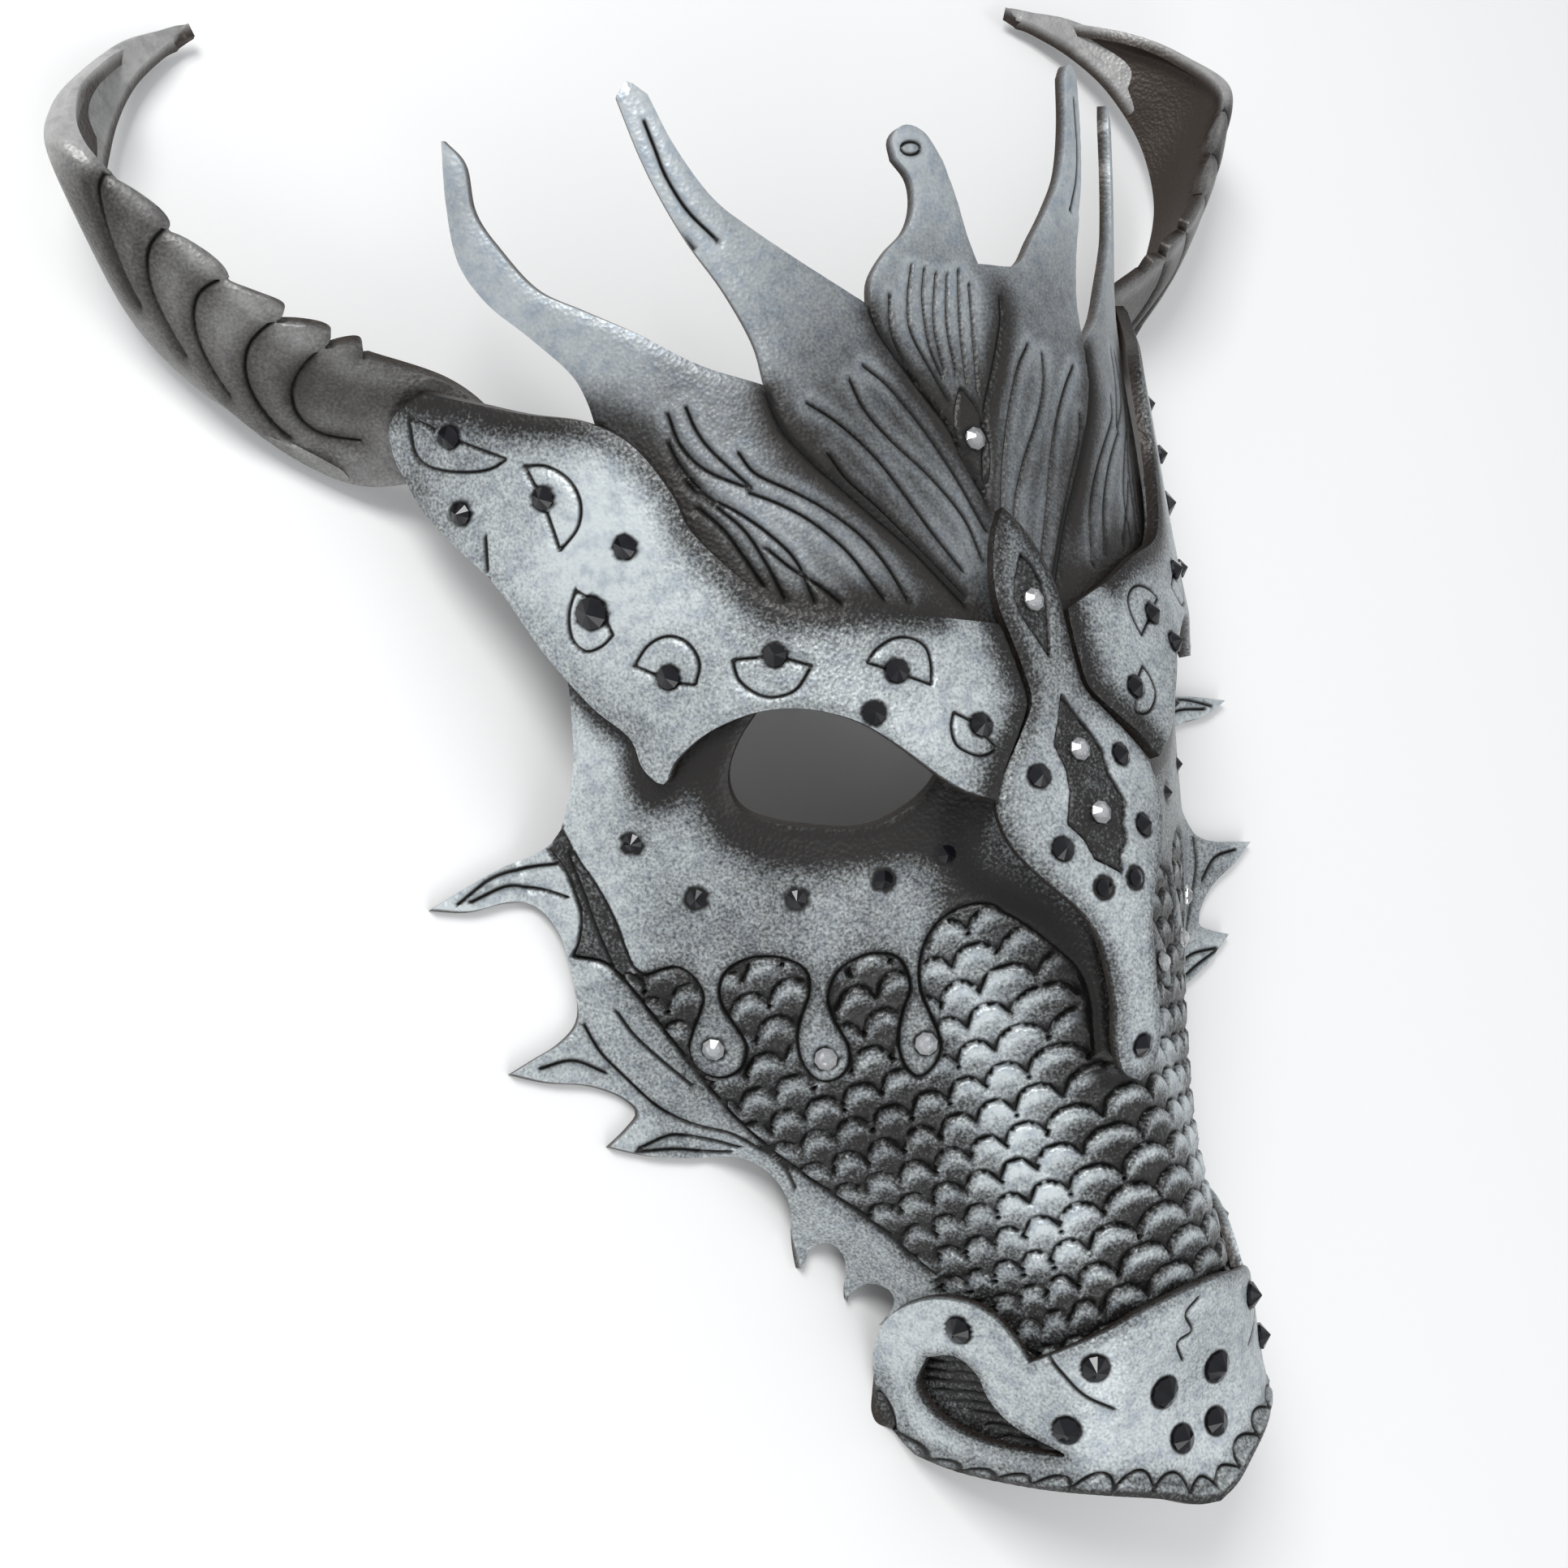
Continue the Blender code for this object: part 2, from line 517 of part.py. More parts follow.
def horn_sheet():
    points_at, lengths, lines, stations = horn_surface()
    low, mid, up = lines
    widths = horn_width(low, mid, up)
    edge = np.array([leaf_edge(s) for s in stations]) * widths
    lower = spaced(np.stack([lengths, 0 * lengths], -1), EDGE_STEP)
    end = np.array([[lengths[-1], 0.0], [lengths[-1], widths[-1]]])
    upper = spaced(np.stack([lengths, edge], -1)[::-1], HORN_EDGE_STEP)
    start = spaced(np.array([[0.0, edge[0]], [0.0, 0.0]]), EDGE_STEP)
    loop = np.vstack([lower[:-1], end[:1], upper[:-1], start[:-1]])
    leaf = []
    for k in range(LEAVES):
        station = LEAF_FROM + (LEAF_TO - LEAF_FROM) * (k + 0.5) / LEAVES
        along_horn = float(np.interp(station, stations, lengths))
        reach = float(np.interp(station, stations, widths))
        leaf.append((along_horn, LEAF_PLACE * reach))

    def relief(flat):
        heights = np.zeros(len(flat))
        for place in leaf:
            gap = np.hypot(flat[:, 0] - place[0], flat[:, 1] - place[1])
            heights += LEAF_STEP * np.exp(-(gap / LEAF_SPREAD) ** 2)
        return heights

    return sheet_mesh([loop], points_at, relief, leaf)


# Crystals

def crystal(name, place, points_at, radius, height, material, mirror=False):
    """A cut stone on its flat back, standing square on the surface."""
    x, y = np.array([float(place[0])]), np.array([float(place[1])])
    foot = points_at(x, y)[0]
    axis = surface_normals(points_at, x, y)[0]
    foot = foot + axis * CRYSTAL_SEAT
    side = np.cross(axis, (0.0, 1.0, 0.0))
    side /= np.linalg.norm(side)
    other = np.cross(axis, side)
    rings = []
    for level, share in ((0.0, BACK_SHARE), (GIRDLE * height, 1.0)):
        for k in range(CRYSTAL_SIDES):
            turn = 2 * math.pi * k / CRYSTAL_SIDES
            outward = side * math.cos(turn) + other * math.sin(turn)
            rings.append(foot + axis * level + radius * share * outward)
    vertices = np.array(rings + [foot + axis * height])
    if mirror:
        vertices[:, 0] *= -1
    n = CRYSTAL_SIDES
    faces = [tuple(range(n))]
    for k in range(n):
        nxt = (k + 1) % n
        faces.append((k, nxt, n + nxt, n + k))
        faces.append((n + k, n + nxt, 2 * n))
    mesh = bpy.data.meshes.new(name)
    mesh.from_pydata((vertices * MILLIMETRE).tolist(), [], faces)
    shape = bmesh.new()
    shape.from_mesh(mesh)
    bmesh.ops.recalc_face_normals(shape, faces=shape.faces)
    shape.to_mesh(mesh)
    shape.free()
    piece = bpy.data.objects.new(name, mesh)
    piece.data.materials.append(material)
    bpy.context.scene.collection.objects.link(piece)
    return piece


# Places of the crystals on the right half, and of those on the middle line
BROW_CRYSTALS = [(76, 104), (67, 89), (57, 55), (44, 53), (28, 45), (17, 33), (76, 92),
                 (59, 77), (33, 39.5)]
BROW_BIG_CRYSTAL = (64, 69)
CHEEK_CRYSTALS = [(62, 32), (55, 20), (42, 15), (29, 14)]
DRIP_CRYSTALS = [(55, -5), (41, -12), (27, -14.5)]
NOSE_PAIRS = [(9, 22.5), (9, 10)]
NOSE_LAST_CRYSTAL = (0, -25)
NOSE_CLEAR_CRYSTALS = [51, 25, 14]
MANE_CRYSTAL = (0.5, 80)
MUZZLE_BIG_CRYSTAL = (6, -81)
MUZZLE_CRYSTALS = [(16, -73), (20, -82.4), (4, -91)]


def black_stones(material):
    for mirror, side in ((False, "right"), (True, "left")):
        for k, place in enumerate(BROW_CRYSTALS, 1):
            crystal(f"brow_crystal_{side}_{k}", place, brow_points, SMALL_CRYSTAL, SMALL_HEIGHT,
                    material, mirror)
        crystal(f"brow_big_crystal_{side}", BROW_BIG_CRYSTAL, brow_points, BIG_CRYSTAL, BIG_HEIGHT,
                material, mirror)
        for k, place in enumerate(CHEEK_CRYSTALS, 1):
            crystal(f"cheek_crystal_{side}_{k}", place, face_points, SMALL_CRYSTAL, SMALL_HEIGHT,
                    material, mirror)
        for k, place in enumerate(NOSE_PAIRS, 1):
            crystal(f"nose_crystal_{side}_{k}", place, nose_points, SMALL_CRYSTAL, SMALL_HEIGHT,
                    material, mirror)
        crystal(f"muzzle_big_crystal_{side}", MUZZLE_BIG_CRYSTAL, muzzle_points, BIG_CRYSTAL, BIG_HEIGHT,
                material, mirror)
        for k, place in enumerate(MUZZLE_CRYSTALS, 1):
            crystal(f"muzzle_crystal_{side}_{k}", place, muzzle_points, MUZZLE_CRYSTAL, MUZZLE_HEIGHT,
                    material, mirror)
    crystal("nose_tip_crystal", NOSE_LAST_CRYSTAL, nose_points, SMALL_CRYSTAL, SMALL_HEIGHT, material)


def clear_stones(material):
    for mirror, side in ((False, "right"), (True, "left")):
        for k, place in enumerate(DRIP_CRYSTALS, 1):
            crystal(f"drip_crystal_{side}_{k}", place, face_points, CLEAR_CRYSTAL, CLEAR_HEIGHT,
                    material, mirror)
    for k, y in enumerate(NOSE_CLEAR_CRYSTALS, 1):
        crystal(f"nose_clear_crystal_{k}", (0, y), nose_points, CLEAR_CRYSTAL, CLEAR_HEIGHT, material)
    crystal("mane_crystal", MANE_CRYSTAL, lining_points, CLEAR_CRYSTAL, CLEAR_HEIGHT, material)


def finish(name, colour, roughness, metallic=0.0):
    """A plain material with one colour."""
    material = bpy.data.materials.new(name)
    material.use_nodes = True
    shader = material.node_tree.nodes["Principled BSDF"]
    shader.inputs["Base Color"].default_value = (*colour, 1.0)
    shader.inputs["Roughness"].default_value = roughness
    shader.inputs["Metallic"].default_value = metallic
    return material


def clear_scene():
    for piece in list(bpy.data.objects):
        bpy.data.objects.remove(piece, do_unlink=True)


def centre_lengthwise():
    """Moves every mesh so that the mask's length is centred on the origin."""
    places = [corner.co.y for piece in bpy.data.objects for corner in piece.data.vertices]
    middle = 0.5 * (min(places) + max(places))
    for piece in bpy.data.objects:
        piece.data.transform(Matrix.Translation((0, -middle, 0)))


def full_loop(side):
    """A closed outline of one side's strokes and their mirror image."""
    return outline(side + mirrored(side))


def face_shell(material):
    eye = [EYE_LOW, EYE_TOP]
    places, rises = scale_points()
    loops = [full_loop(FACE_SIDE), outline(eye), outline(mirrored(eye))]
    solid("face_shell", sheet_mesh(loops, face_points, carved(places, rises), places), material)


def mane(material):
    places, depths = groove_points()
    sheet = sheet_mesh([outline(mane_strokes())], lining_points, carved(places, depths), places)
    solid("mane", sheet, material)


def brow_plates(material):
    sheet = sheet_mesh([outline(brow_strokes())], brow_points)
    solid("brow_plate_right", sheet, material)
    solid("brow_plate_left", sheet, material, mirror=True)


def nose_plate(material):
    solid("nose_plate", sheet_mesh([full_loop([NOSE_SIDE])], nose_points, step=NOSE_FACET), material)


def muzzle_plate(material):
    plate = full_loop([MUZZLE_TOP, MUZZLE_LOBE, MUZZLE_FRONT])
    nostrils = [outline([NOSTRIL], NOSTRIL_STEP), outline(mirrored([NOSTRIL]), NOSTRIL_STEP)]
    solid("muzzle_plate", sheet_mesh([plate] + nostrils, muzzle_points, step=MUZZLE_FACET), material)


def horns(material):
    sheet = horn_sheet()
    solid("horn_right", sheet, material)
    solid("horn_left", sheet, material, mirror=True)


def build():
    clear_scene()
    silver = finish("silvered leather", (0.45, 0.48, 0.50), 0.42, 0.35)
    dark = finish("dark leather", (0.08, 0.075, 0.07), 0.45, 0.25)
    face_shell(silver)
    mane(dark)
    brow_plates(silver)
    nose_plate(silver)
    muzzle_plate(silver)
    horns(dark)
    black_stones(finish("black crystal", (0.01, 0.01, 0.012), 0.08))
    clear_stones(finish("clear crystal", (0.85, 0.86, 0.88), 0.05))
    centre_lengthwise()


build()
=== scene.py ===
import math

import bmesh
import bpy
import numpy as np
from mathutils import Matrix, Vector
from mathutils.geometry import delaunay_2d_cdt
from mathutils.kdtree import KDTree


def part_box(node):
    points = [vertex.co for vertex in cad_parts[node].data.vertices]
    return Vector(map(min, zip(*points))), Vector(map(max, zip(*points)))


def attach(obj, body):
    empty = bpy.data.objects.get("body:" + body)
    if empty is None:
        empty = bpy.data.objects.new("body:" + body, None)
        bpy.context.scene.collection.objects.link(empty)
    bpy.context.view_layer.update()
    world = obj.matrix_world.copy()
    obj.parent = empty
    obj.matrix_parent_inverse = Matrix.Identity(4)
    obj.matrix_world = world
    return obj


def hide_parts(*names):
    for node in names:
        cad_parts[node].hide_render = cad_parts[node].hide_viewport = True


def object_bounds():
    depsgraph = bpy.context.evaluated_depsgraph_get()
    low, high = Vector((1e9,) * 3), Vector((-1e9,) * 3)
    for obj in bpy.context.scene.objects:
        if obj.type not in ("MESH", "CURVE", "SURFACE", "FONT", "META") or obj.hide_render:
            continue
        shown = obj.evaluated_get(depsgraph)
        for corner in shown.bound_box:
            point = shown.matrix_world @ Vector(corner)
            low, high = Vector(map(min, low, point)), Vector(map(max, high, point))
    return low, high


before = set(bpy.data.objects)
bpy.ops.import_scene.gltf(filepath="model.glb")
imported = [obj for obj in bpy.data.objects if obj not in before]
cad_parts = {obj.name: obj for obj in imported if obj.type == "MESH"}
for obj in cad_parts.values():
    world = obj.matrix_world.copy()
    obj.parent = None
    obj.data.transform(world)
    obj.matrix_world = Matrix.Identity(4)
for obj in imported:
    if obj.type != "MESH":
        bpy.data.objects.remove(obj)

# A carved leather dragon mask, lying face up. Shapes are worked out in millimetres on the
# pattern of each leather piece, x across and y towards the crown, and then bent into place.
MILLIMETRE = 0.001
NOSE_APEX = 67.5        # the nose plate's upper tip on the pattern
MIDDLE = NOSE_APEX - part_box("nose_plate")[1][1] / MILLIMETRE
CAD_LOW, CAD_HIGH = [np.array(corner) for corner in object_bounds()]

LEATHER = 2.6
STACK_GAP = 1.2         # between one layer of leather and the next
PLATE_GAP = 1.0         # between the nose plate and the brow plates beside it
LAYER = LEATHER + STACK_GAP
EDGE_SHARE = 0.9        # a sheet cut off by the ground keeps this share of its thickness
FINE = 0.95             # spacing of the mesh on the face and mane
FINER = 0.75            # and on the smaller plates
EDGE_STEPS = 0.45       # the mesh keeps this share of its spacing from the edge
SCALE_FINE = 0.58       # spacing where the snout has scales
MUZZLE_FINE = 0.5       # the muzzle's sides are steep
LINE_STEP = 0.6         # spacing along a carved line
LINE_BANK = 0.45        # from a line's middle to its banks
LINE_APART = 0.6 * LINE_BANK    # points of two lines that meet keep about this far apart
LINE_CLEAR = 0.8        # plain points keep this far from a carved line
EDGE_CLEAR = 0.4        # and points of a line this far from the edge
EDGE_ROUND = 0.45       # how much a cut edge is rubbed down
EDGE_REACH = 1.2        # and how far in from the edge
LINE_WIDTH = 0.36       # half width of a carved line
LINE_DEPTH = 0.55
SHARP = math.radians(50)    # edges that turn more than this stay sharp

# The camera stands where the photograph was taken from, seen from the mask
PICTURE = 1932
PICTURE_MIDDLE = 966.0
FOCAL = 2600.0          # in the picture's pixels
SENSOR = 36.0
EYE = np.array((-225.0, 7.37, 334.05))
EYE_RIGHT = np.array((0.824895, -0.289192, 0.485712))
EYE_UP = np.array((0.208548, 0.954309, 0.214013))
EYE_BACK = np.array((-0.525411, -0.075244, 0.847515))

# Sections across the mask: place, half width, rim height, crest height, fullness
BROW_SECTIONS = [
    (0, 72, 3, 62.6, 2.8), (27, 74, 3, 62.6, 2.8), (44, 76.5, 3, 62.6, 2.8), (62, 80, 3, 62.8, 2.8),
    (80, 83.5, 3, 64.3, 2.8), (102, 87.5, 3, 66.8, 2.8), (130, 97, 3, 71.5, 2.9),
    (152, 105, 3, 74.5, 3.0),
]
# With the height of the narrow ridge along the nose at the end
FACE_SECTIONS = [
    (-114, 29, -1, 36.0, 4.0, 0), (-84, 32, -1, 36.5, 4.2, 0), (-68, 33.5, -1, 42.5, 3.4, 1),
    (-50, 38, 1, 44.0, 2.7, 4), (-30, 52, 0, 41.0, 2.4, 7.5), (-10, 63, 0, 40.0, 2.3, 14),
    (8, 70, 0, 43.0, 2.3, 15), (27, 74, 0, 48.0, 2.5, 10.5), (44, 76.5, 0, 55.0, 2.8, 3.5),
    (62, 80, 0, 58.5, 2.8, 0),
]
RIDGE_HALF = 12.0       # half width of that ridge
RIM_ROUND = 5.0         # how softly an arch turns into its rim
BROW_FROM, BROW_TO = 30.0, 50.0     # where the face slips under the brow plates
NOSE_CREST = [(-40, 47.5), (-31, 52.8), (-15, 59.5), (0, 62.6), (30, 63.0), (70, 63.4)]
NOSE_FALL = 0.012       # how fast the nose plate falls off sideways
MUZZLE_EASE = 2.5       # how far the muzzle plate smooths the bend that it lies on


def in_frame(points):
    """From millimetres on the pattern to metres in the shared frame."""
    return (points - (0, MIDDLE, 0)) * MILLIMETRE


def shown(name, data):
    thing = bpy.data.objects.new(name, data)
    bpy.context.scene.collection.objects.link(thing)
    return thing


# Curves and surfaces

def along(rows, y):
    """Smooth values between the rows of a section table."""
    rows = np.array(rows, float)
    keys = rows[:, 0]
    y = np.clip(np.asarray(y, float), keys[0], keys[-1])
    i = np.clip(np.searchsorted(keys, y, side="right") - 1, 0, len(keys) - 2)
    slopes = np.gradient(rows, keys, axis=0)
    span = keys[i + 1] - keys[i]
    t = (y - keys[i]) / span
    values = []
    for c in range(1, rows.shape[1]):
        start, end = rows[i, c], rows[i + 1, c]
        leave, arrive = slopes[i, c] * span, slopes[i + 1, c] * span
        values.append((2 * t**3 - 3 * t**2 + 1) * start + (t**3 - 2 * t**2 + t) * leave
                      + (3 * t**2 - 2 * t**3) * end + (t**3 - t**2) * arrive)
    return values


def ease(low, high, value):
    t = np.clip((value - low) / (high - low), 0, 1)
    return t * t * (3 - 2 * t)


def arch(x, half, rim, crest, fullness):
    rise = (crest - rim) * (1 - (np.abs(x) / half) ** fullness)
    return rim + 0.5 * (rise + np.sqrt(rise**2 + RIM_ROUND**2))


def surface_normals(points_at, x, y, step=0.2):
    across = points_at(x + step, y) - points_at(x - step, y)
    lengthwise = points_at(x, y + step) - points_at(x, y - step)
    normals = np.cross(across, lengthwise)
    return normals / np.linalg.norm(normals, axis=-1, keepdims=True)


def brow_points(x, y):
    half, rim, crest, full = along(BROW_SECTIONS, y)
    return np.stack([x, y, arch(x, half, rim, crest, full)], -1)


def lining_points(x, y):
    """One layer under the brow plates, where the mane lies."""
    return brow_points(x, y) - surface_normals(brow_points, x, y) * LAYER


def face_points(x, y):
    half, rim, crest, full, ridge = along(FACE_SECTIONS, y)
    z = arch(x, half, rim, crest, full) + ridge * np.exp(-(x / RIDGE_HALF) ** 2)
    share = ease(BROW_FROM, BROW_TO, y)[..., None]
    return np.stack([x, y, z], -1) * (1 - share) + lining_points(x, y) * share


def muzzle_points(x, y):
    return face_points(x, y) + surface_normals(face_points, x, y, MUZZLE_EASE) * LAYER


def nose_points(x, y):
    crest, = along(NOSE_CREST, y)
    return np.stack([x, y, crest - NOSE_FALL * x * x], -1)


def spline(points, steps=12):
    p = np.array(points, float)
    if len(p) == 2:
        return np.linspace(p[0], p[1], steps + 1)
    p = np.vstack([2 * p[0] - p[1], p, 2 * p[-1] - p[-2]])
    out = []
    for k in range(1, len(p) - 2):
        for t in np.arange(steps) / steps:
            out.append(0.5 * (2 * p[k] + (p[k + 1] - p[k - 1]) * t
                              + (2 * p[k - 1] - 5 * p[k] + 4 * p[k + 1] - p[k + 2]) * t**2
                              + (3 * p[k] - p[k - 1] - 3 * p[k + 1] + p[k + 2]) * t**3))
    out.append(p[-2])
    return np.array(out)


def spaced(curve, step):
    lengths = np.concatenate([[0], np.cumsum(np.linalg.norm(np.diff(curve, axis=0), axis=1))])
    count = max(1, round(lengths[-1] / step))
    places = np.linspace(0, lengths[-1], count + 1)
    return np.stack([np.interp(places, lengths, curve[:, c]) for c in range(curve.shape[1])], -1)


def outline(strokes, step):
    return np.vstack([spaced(spline(stroke), step)[:-1] for stroke in strokes])


def mirrored(strokes):
    return [[(-x, y) for x, y in reversed(stroke)] for stroke in reversed(strokes)]


# Patterns of the leather pieces, right half; each stroke is smooth and they meet at corners

NOSE_SIDE = [(0, 67.5), (3, 63.5), (5.4, 58), (6.6, 52), (6.1, 46), (5.6, 39), (6, 34.5),
             (9.5, 30), (14, 25), (17, 20.5), (17.2, 15), (15.5, 10), (12, 4.5), (8, -1),
             (5.8, -6), (5, -12), (4.6, -18), (5, -23.5), (3.6, -28.6), (0, -31)]
BROW_INNER_TOP = 48.5
BROW_INNER_FOOT = 20.0
BROW_TOP = [(19, 52), (28, 55.5), (37, 58), (42.5, 61.5), (47, 68), (51, 76), (52.5, 83), (56, 92),
            (61, 98), (67.5, 102.5), (74, 108), (79, 112.5)]
BROW_END = [(79, 112.5), (82.3, 110), (82.3, 105), (81.4, 101)]
BROW_LOW = [(81.4, 101), (80, 95), (77.5, 88), (73.5, 78), (70, 66), (66, 55), (62.6, 48), (61.8, 42.5),
            (60, 39), (58.2, 42), (54, 44.6), (48, 45.2), (42, 43.4), (36, 39.4), (31.5, 34.5), (26, 27)]
BROW_CORNER = [(26, 27), (22.5, 23.4)]
FACE_TOP = [(0, 42.5), (8, 43.5), (20, 47), (31, 51), (46, 59), (55, 68), (60, 74), (66, 73), (69, 66)]
CHEEK = [(69, 66), (69, 58), (69.5, 50), (70, 43), (70.8, 37.5), (73, 35.4), (78, 34.8),
         (85, 33.2), (92.5, 31)]
SPIKE_GAP = [(92.5, 31), (86, 29), (79, 28.8), (74.5, 27), (72.2, 22), (71.6, 16), (71.8, 10), (73, 5.6),
             (77, 3.2), (82, 2), (87, 0.8)]
JAW_NOTCH = [(87, 0.8), (81, -2.4), (74, -5), (69, -8.4), (66.6, -12), (69, -14), (73.5, -16)]
JAW = [(73.5, -16), (67, -19.6), (60, -22.2), (53.5, -24), (49.5, -27.5), (46.6, -33), (45, -39),
       (45, -47)]
BARB_ONE = [(45, -47), (41, -43.6), (38.4, -46.5), (37.6, -50.5), (38, -55.5)]
BARB_TWO = [(38, -55.5), (35.4, -53), (33.4, -55), (33, -58), (34, -61)]
SNOUT_END = [(34, -61), (32, -62), (31.4, -68), (31.2, -77), (28.8, -83.6), (23, -88.8), (14, -93),
             (6, -96.4), (0, -97.4)]
FACE_SIDE = [FACE_TOP, CHEEK, SPIKE_GAP, JAW_NOTCH, JAW, BARB_ONE, BARB_TWO, SNOUT_END]
EYE_LOW = [(17, 29.5), (19.5, 26.4), (23, 24.3), (28, 23), (33, 23.4), (39, 25.6), (44, 28),
           (48.5, 31.6), (51, 37), (50.5, 42), (47.5, 46.5)]
EYE_TOP = [(47.5, 46.5), (41, 48), (34, 45.6), (27, 41), (21, 35.6), (17, 29.5)]
MANE_FOOT = [(0, 44), (8, 45), (20, 48.4), (31, 52.4), (45, 60.4), (52, 68), (55.5, 78), (57, 88),
             (60.5, 96)]
OUTER_LOCK_OUT = [(60.5, 96), (61, 101), (62.5, 106), (67, 113.5), (71.5, 120.5), (74.4, 128),
                  (75, 137), (74.6, 145.5)]
OUTER_LOCK_IN = [(74.6, 145.5), (72.4, 141), (72, 134), (69.6, 127.5), (65.5, 119.6), (60, 114.2),
                 (53, 108), (45, 100.6), (36, 95)]
MID_LOCK_OUT = [(36, 95), (36.4, 102), (39.4, 110.6), (43.6, 119), (46.5, 126.5), (48.6, 134),
                (50.4, 143.4)]
MID_LOCK_TIP = [(50.4, 143.4), (48.4, 145.2), (45.6, 142.6)]
MID_LOCK_IN = [(45.6, 142.6), (43, 134), (38.6, 125), (33, 119), (26, 113), (20, 108.4), (14, 104)]
RING_LOCK_LEFT = [(-14, 104), (-12.6, 108.4), (-8.4, 112.4), (-3.4, 115.6), (-0.8, 119.6),
                  (-0.4, 124), (-2.6, 127.6)]
RING_LOCK_TIP = [(-2.6, 127.6), (-2.4, 131), (0.6, 133), (4.4, 131.4), (7, 126.6)]
RING_LOCK_RIGHT = [(7, 126.6), (8.4, 120), (9.2, 114), (10.4, 109)]
MUZZLE_TOP = [(0, -66), (8, -66.6), (16, -68.6), (22.4, -70.4)]
MUZZLE_LOBE = [(22.4, -70.4), (23.4, -66), (24.6, -62), (26.6, -58.6), (29.4, -56.6), (32, -57.4),
               (33.4, -60.6), (34, -66), (34, -72), (33.6, -78), (31.6, -84)]
MUZZLE_FRONT = [(31.6, -84), (28.6, -88), (24, -91.6), (18, -95), (11, -99), (5, -102.6), (0, -104)]
NOSTRIL = [(30, -66.6), (28, -67.2), (26.6, -71), (26, -76), (24.4, -81), (20.6, -87), (23.6, -85.6),
           (27, -83), (29.6, -78.4), (30.8, -72), (30, -66.6)]


def brow_strokes():
    inner = [(x + PLATE_GAP, y) for x, y in NOSE_SIDE if BROW_INNER_FOOT < y < BROW_INNER_TOP]
    top = [(NOSE_SIDE[3][0] + PLATE_GAP, BROW_INNER_TOP)] + BROW_TOP
    return [top, BROW_END, BROW_LOW, BROW_CORNER + [inner[-1]], inner[::-1] + [top[0]]]


def mane_strokes():
    side = [MANE_FOOT, OUTER_LOCK_OUT, OUTER_LOCK_IN, MID_LOCK_OUT, MID_LOCK_TIP]
    to_ring = MID_LOCK_IN[:-1] + RING_LOCK_RIGHT[-1:]
    ring = [stroke[::-1] for stroke in (RING_LOCK_RIGHT, RING_LOCK_TIP, RING_LOCK_LEFT)]
    return side + [to_ring] + ring + mirrored(side + [MID_LOCK_IN])


# Carved lines, read in the picture's pixels on the side that it shows

BROW_EYES = [
    [(502, 514), (512, 563), (539, 579), (579, 582), (606, 577), (622, 566)],
    [(645, 574), (673, 575), (700, 592), (714, 619), (711, 650), (689, 679)],
    [(708, 727), (700, 757), (704, 788), (720, 803), (740, 797), (754, 783)],
    [(780, 821), (798, 795), (823, 784), (847, 793), (861, 817), (856, 844)],
    [(902, 813), (910, 838), (932, 855), (954, 859), (981, 849), (1000, 820)],
    [(1069, 816), (1080, 800), (1102, 786), (1125, 786), (1142, 798), (1148, 820), (1148, 843)],
    [(1176, 877), (1173, 896), (1180, 918), (1203, 930), (1218, 929), (1229, 921)],
]
# Each eye shape's straight lid stops on either side of its crystal
LID_STOPS = [
    ((533, 529), (566, 545)), ((664, 610), (673, 632)), ((722, 737), (747, 768)),
    ((805, 831), (829, 842)), ((937, 810), (966, 811)), ((1098, 825), (1120, 833)),
    ((1192, 885), (1216, 907)),
]
BROW_STROKES = [[(597, 663), (600, 721)], [(477, 509), (490, 490), (517, 484), (530, 487)]]
MANE_LINES = [
    [(516, 209), (517, 250), (526, 276), (542, 312), (562, 348)],
    [(763, 151), (771, 187), (794, 227), (821, 268), (854, 308)],
    [(794, 150), (807, 183), (821, 218), (847, 259), (882, 294)],
    [(823, 511), (838, 549), (870, 580), (923, 602)],
    [(845, 502), (858, 531), (879, 558), (925, 600)],
    [(823, 546), (838, 575), (870, 611), (905, 629), (945, 656), (981, 691), (1004, 741)],
    [(834, 575), (852, 602), (888, 629), (919, 656), (945, 696), (968, 741)],
    [(860, 627), (890, 652), (915, 685), (940, 722)],
    [(910, 558), (932, 584), (981, 607), (1021, 629), (1062, 660), (1093, 696), (1120, 740)],
    [(923, 607), (963, 622), (1004, 645), (1048, 683), (1090, 738)],
    [(945, 676), (975, 700), (1010, 722), (1035, 742)],
    [(997, 497), (1030, 518), (1066, 549), (1097, 584), (1150, 656), (1185, 700)],
    [(1048, 468), (1066, 504), (1097, 540), (1150, 590), (1190, 640), (1212, 690)],
    [(1066, 451), (1097, 477), (1140, 530), (1180, 590), (1214, 650)],
    [(1021, 558), (1044, 589), (1084, 625), (1140, 680), (1190, 732)],
    [(735, 525), (760, 545), (780, 570)],
]
MANE_STEPS = [
    [(945, 484), (963, 526), (995, 562), (1030, 593), (1075, 632), (1130, 680), (1190, 742)],
    [(1075, 383), (1086, 409), (1107, 440), (1134, 475), (1165, 515), (1195, 570), (1222, 625)],
]
RING_LOCK_LINES = [
    [(1097, 366), (1100, 410), (1120, 451), (1150, 495), (1172, 520)],
    [(1124, 330), (1120, 370), (1124, 410), (1150, 459), (1168, 490)],
    [(1140, 334), (1138, 370), (1146, 425), (1162, 465)],
    [(1154, 340), (1152, 400), (1165, 460)],
    [(1168, 340), (1168, 400), (1180, 462)],
    [(1182, 335), (1184, 400), (1192, 470)],
    [(1195, 350), (1200, 410), (1206, 480)],
]
MANE_INSET = (3.4, 9.0)     # half width and half length of the pointed oval
RING, RING_SIZE = (1123, 182), (12.0, 8.0)  # the ring carved at the middle lock's tip
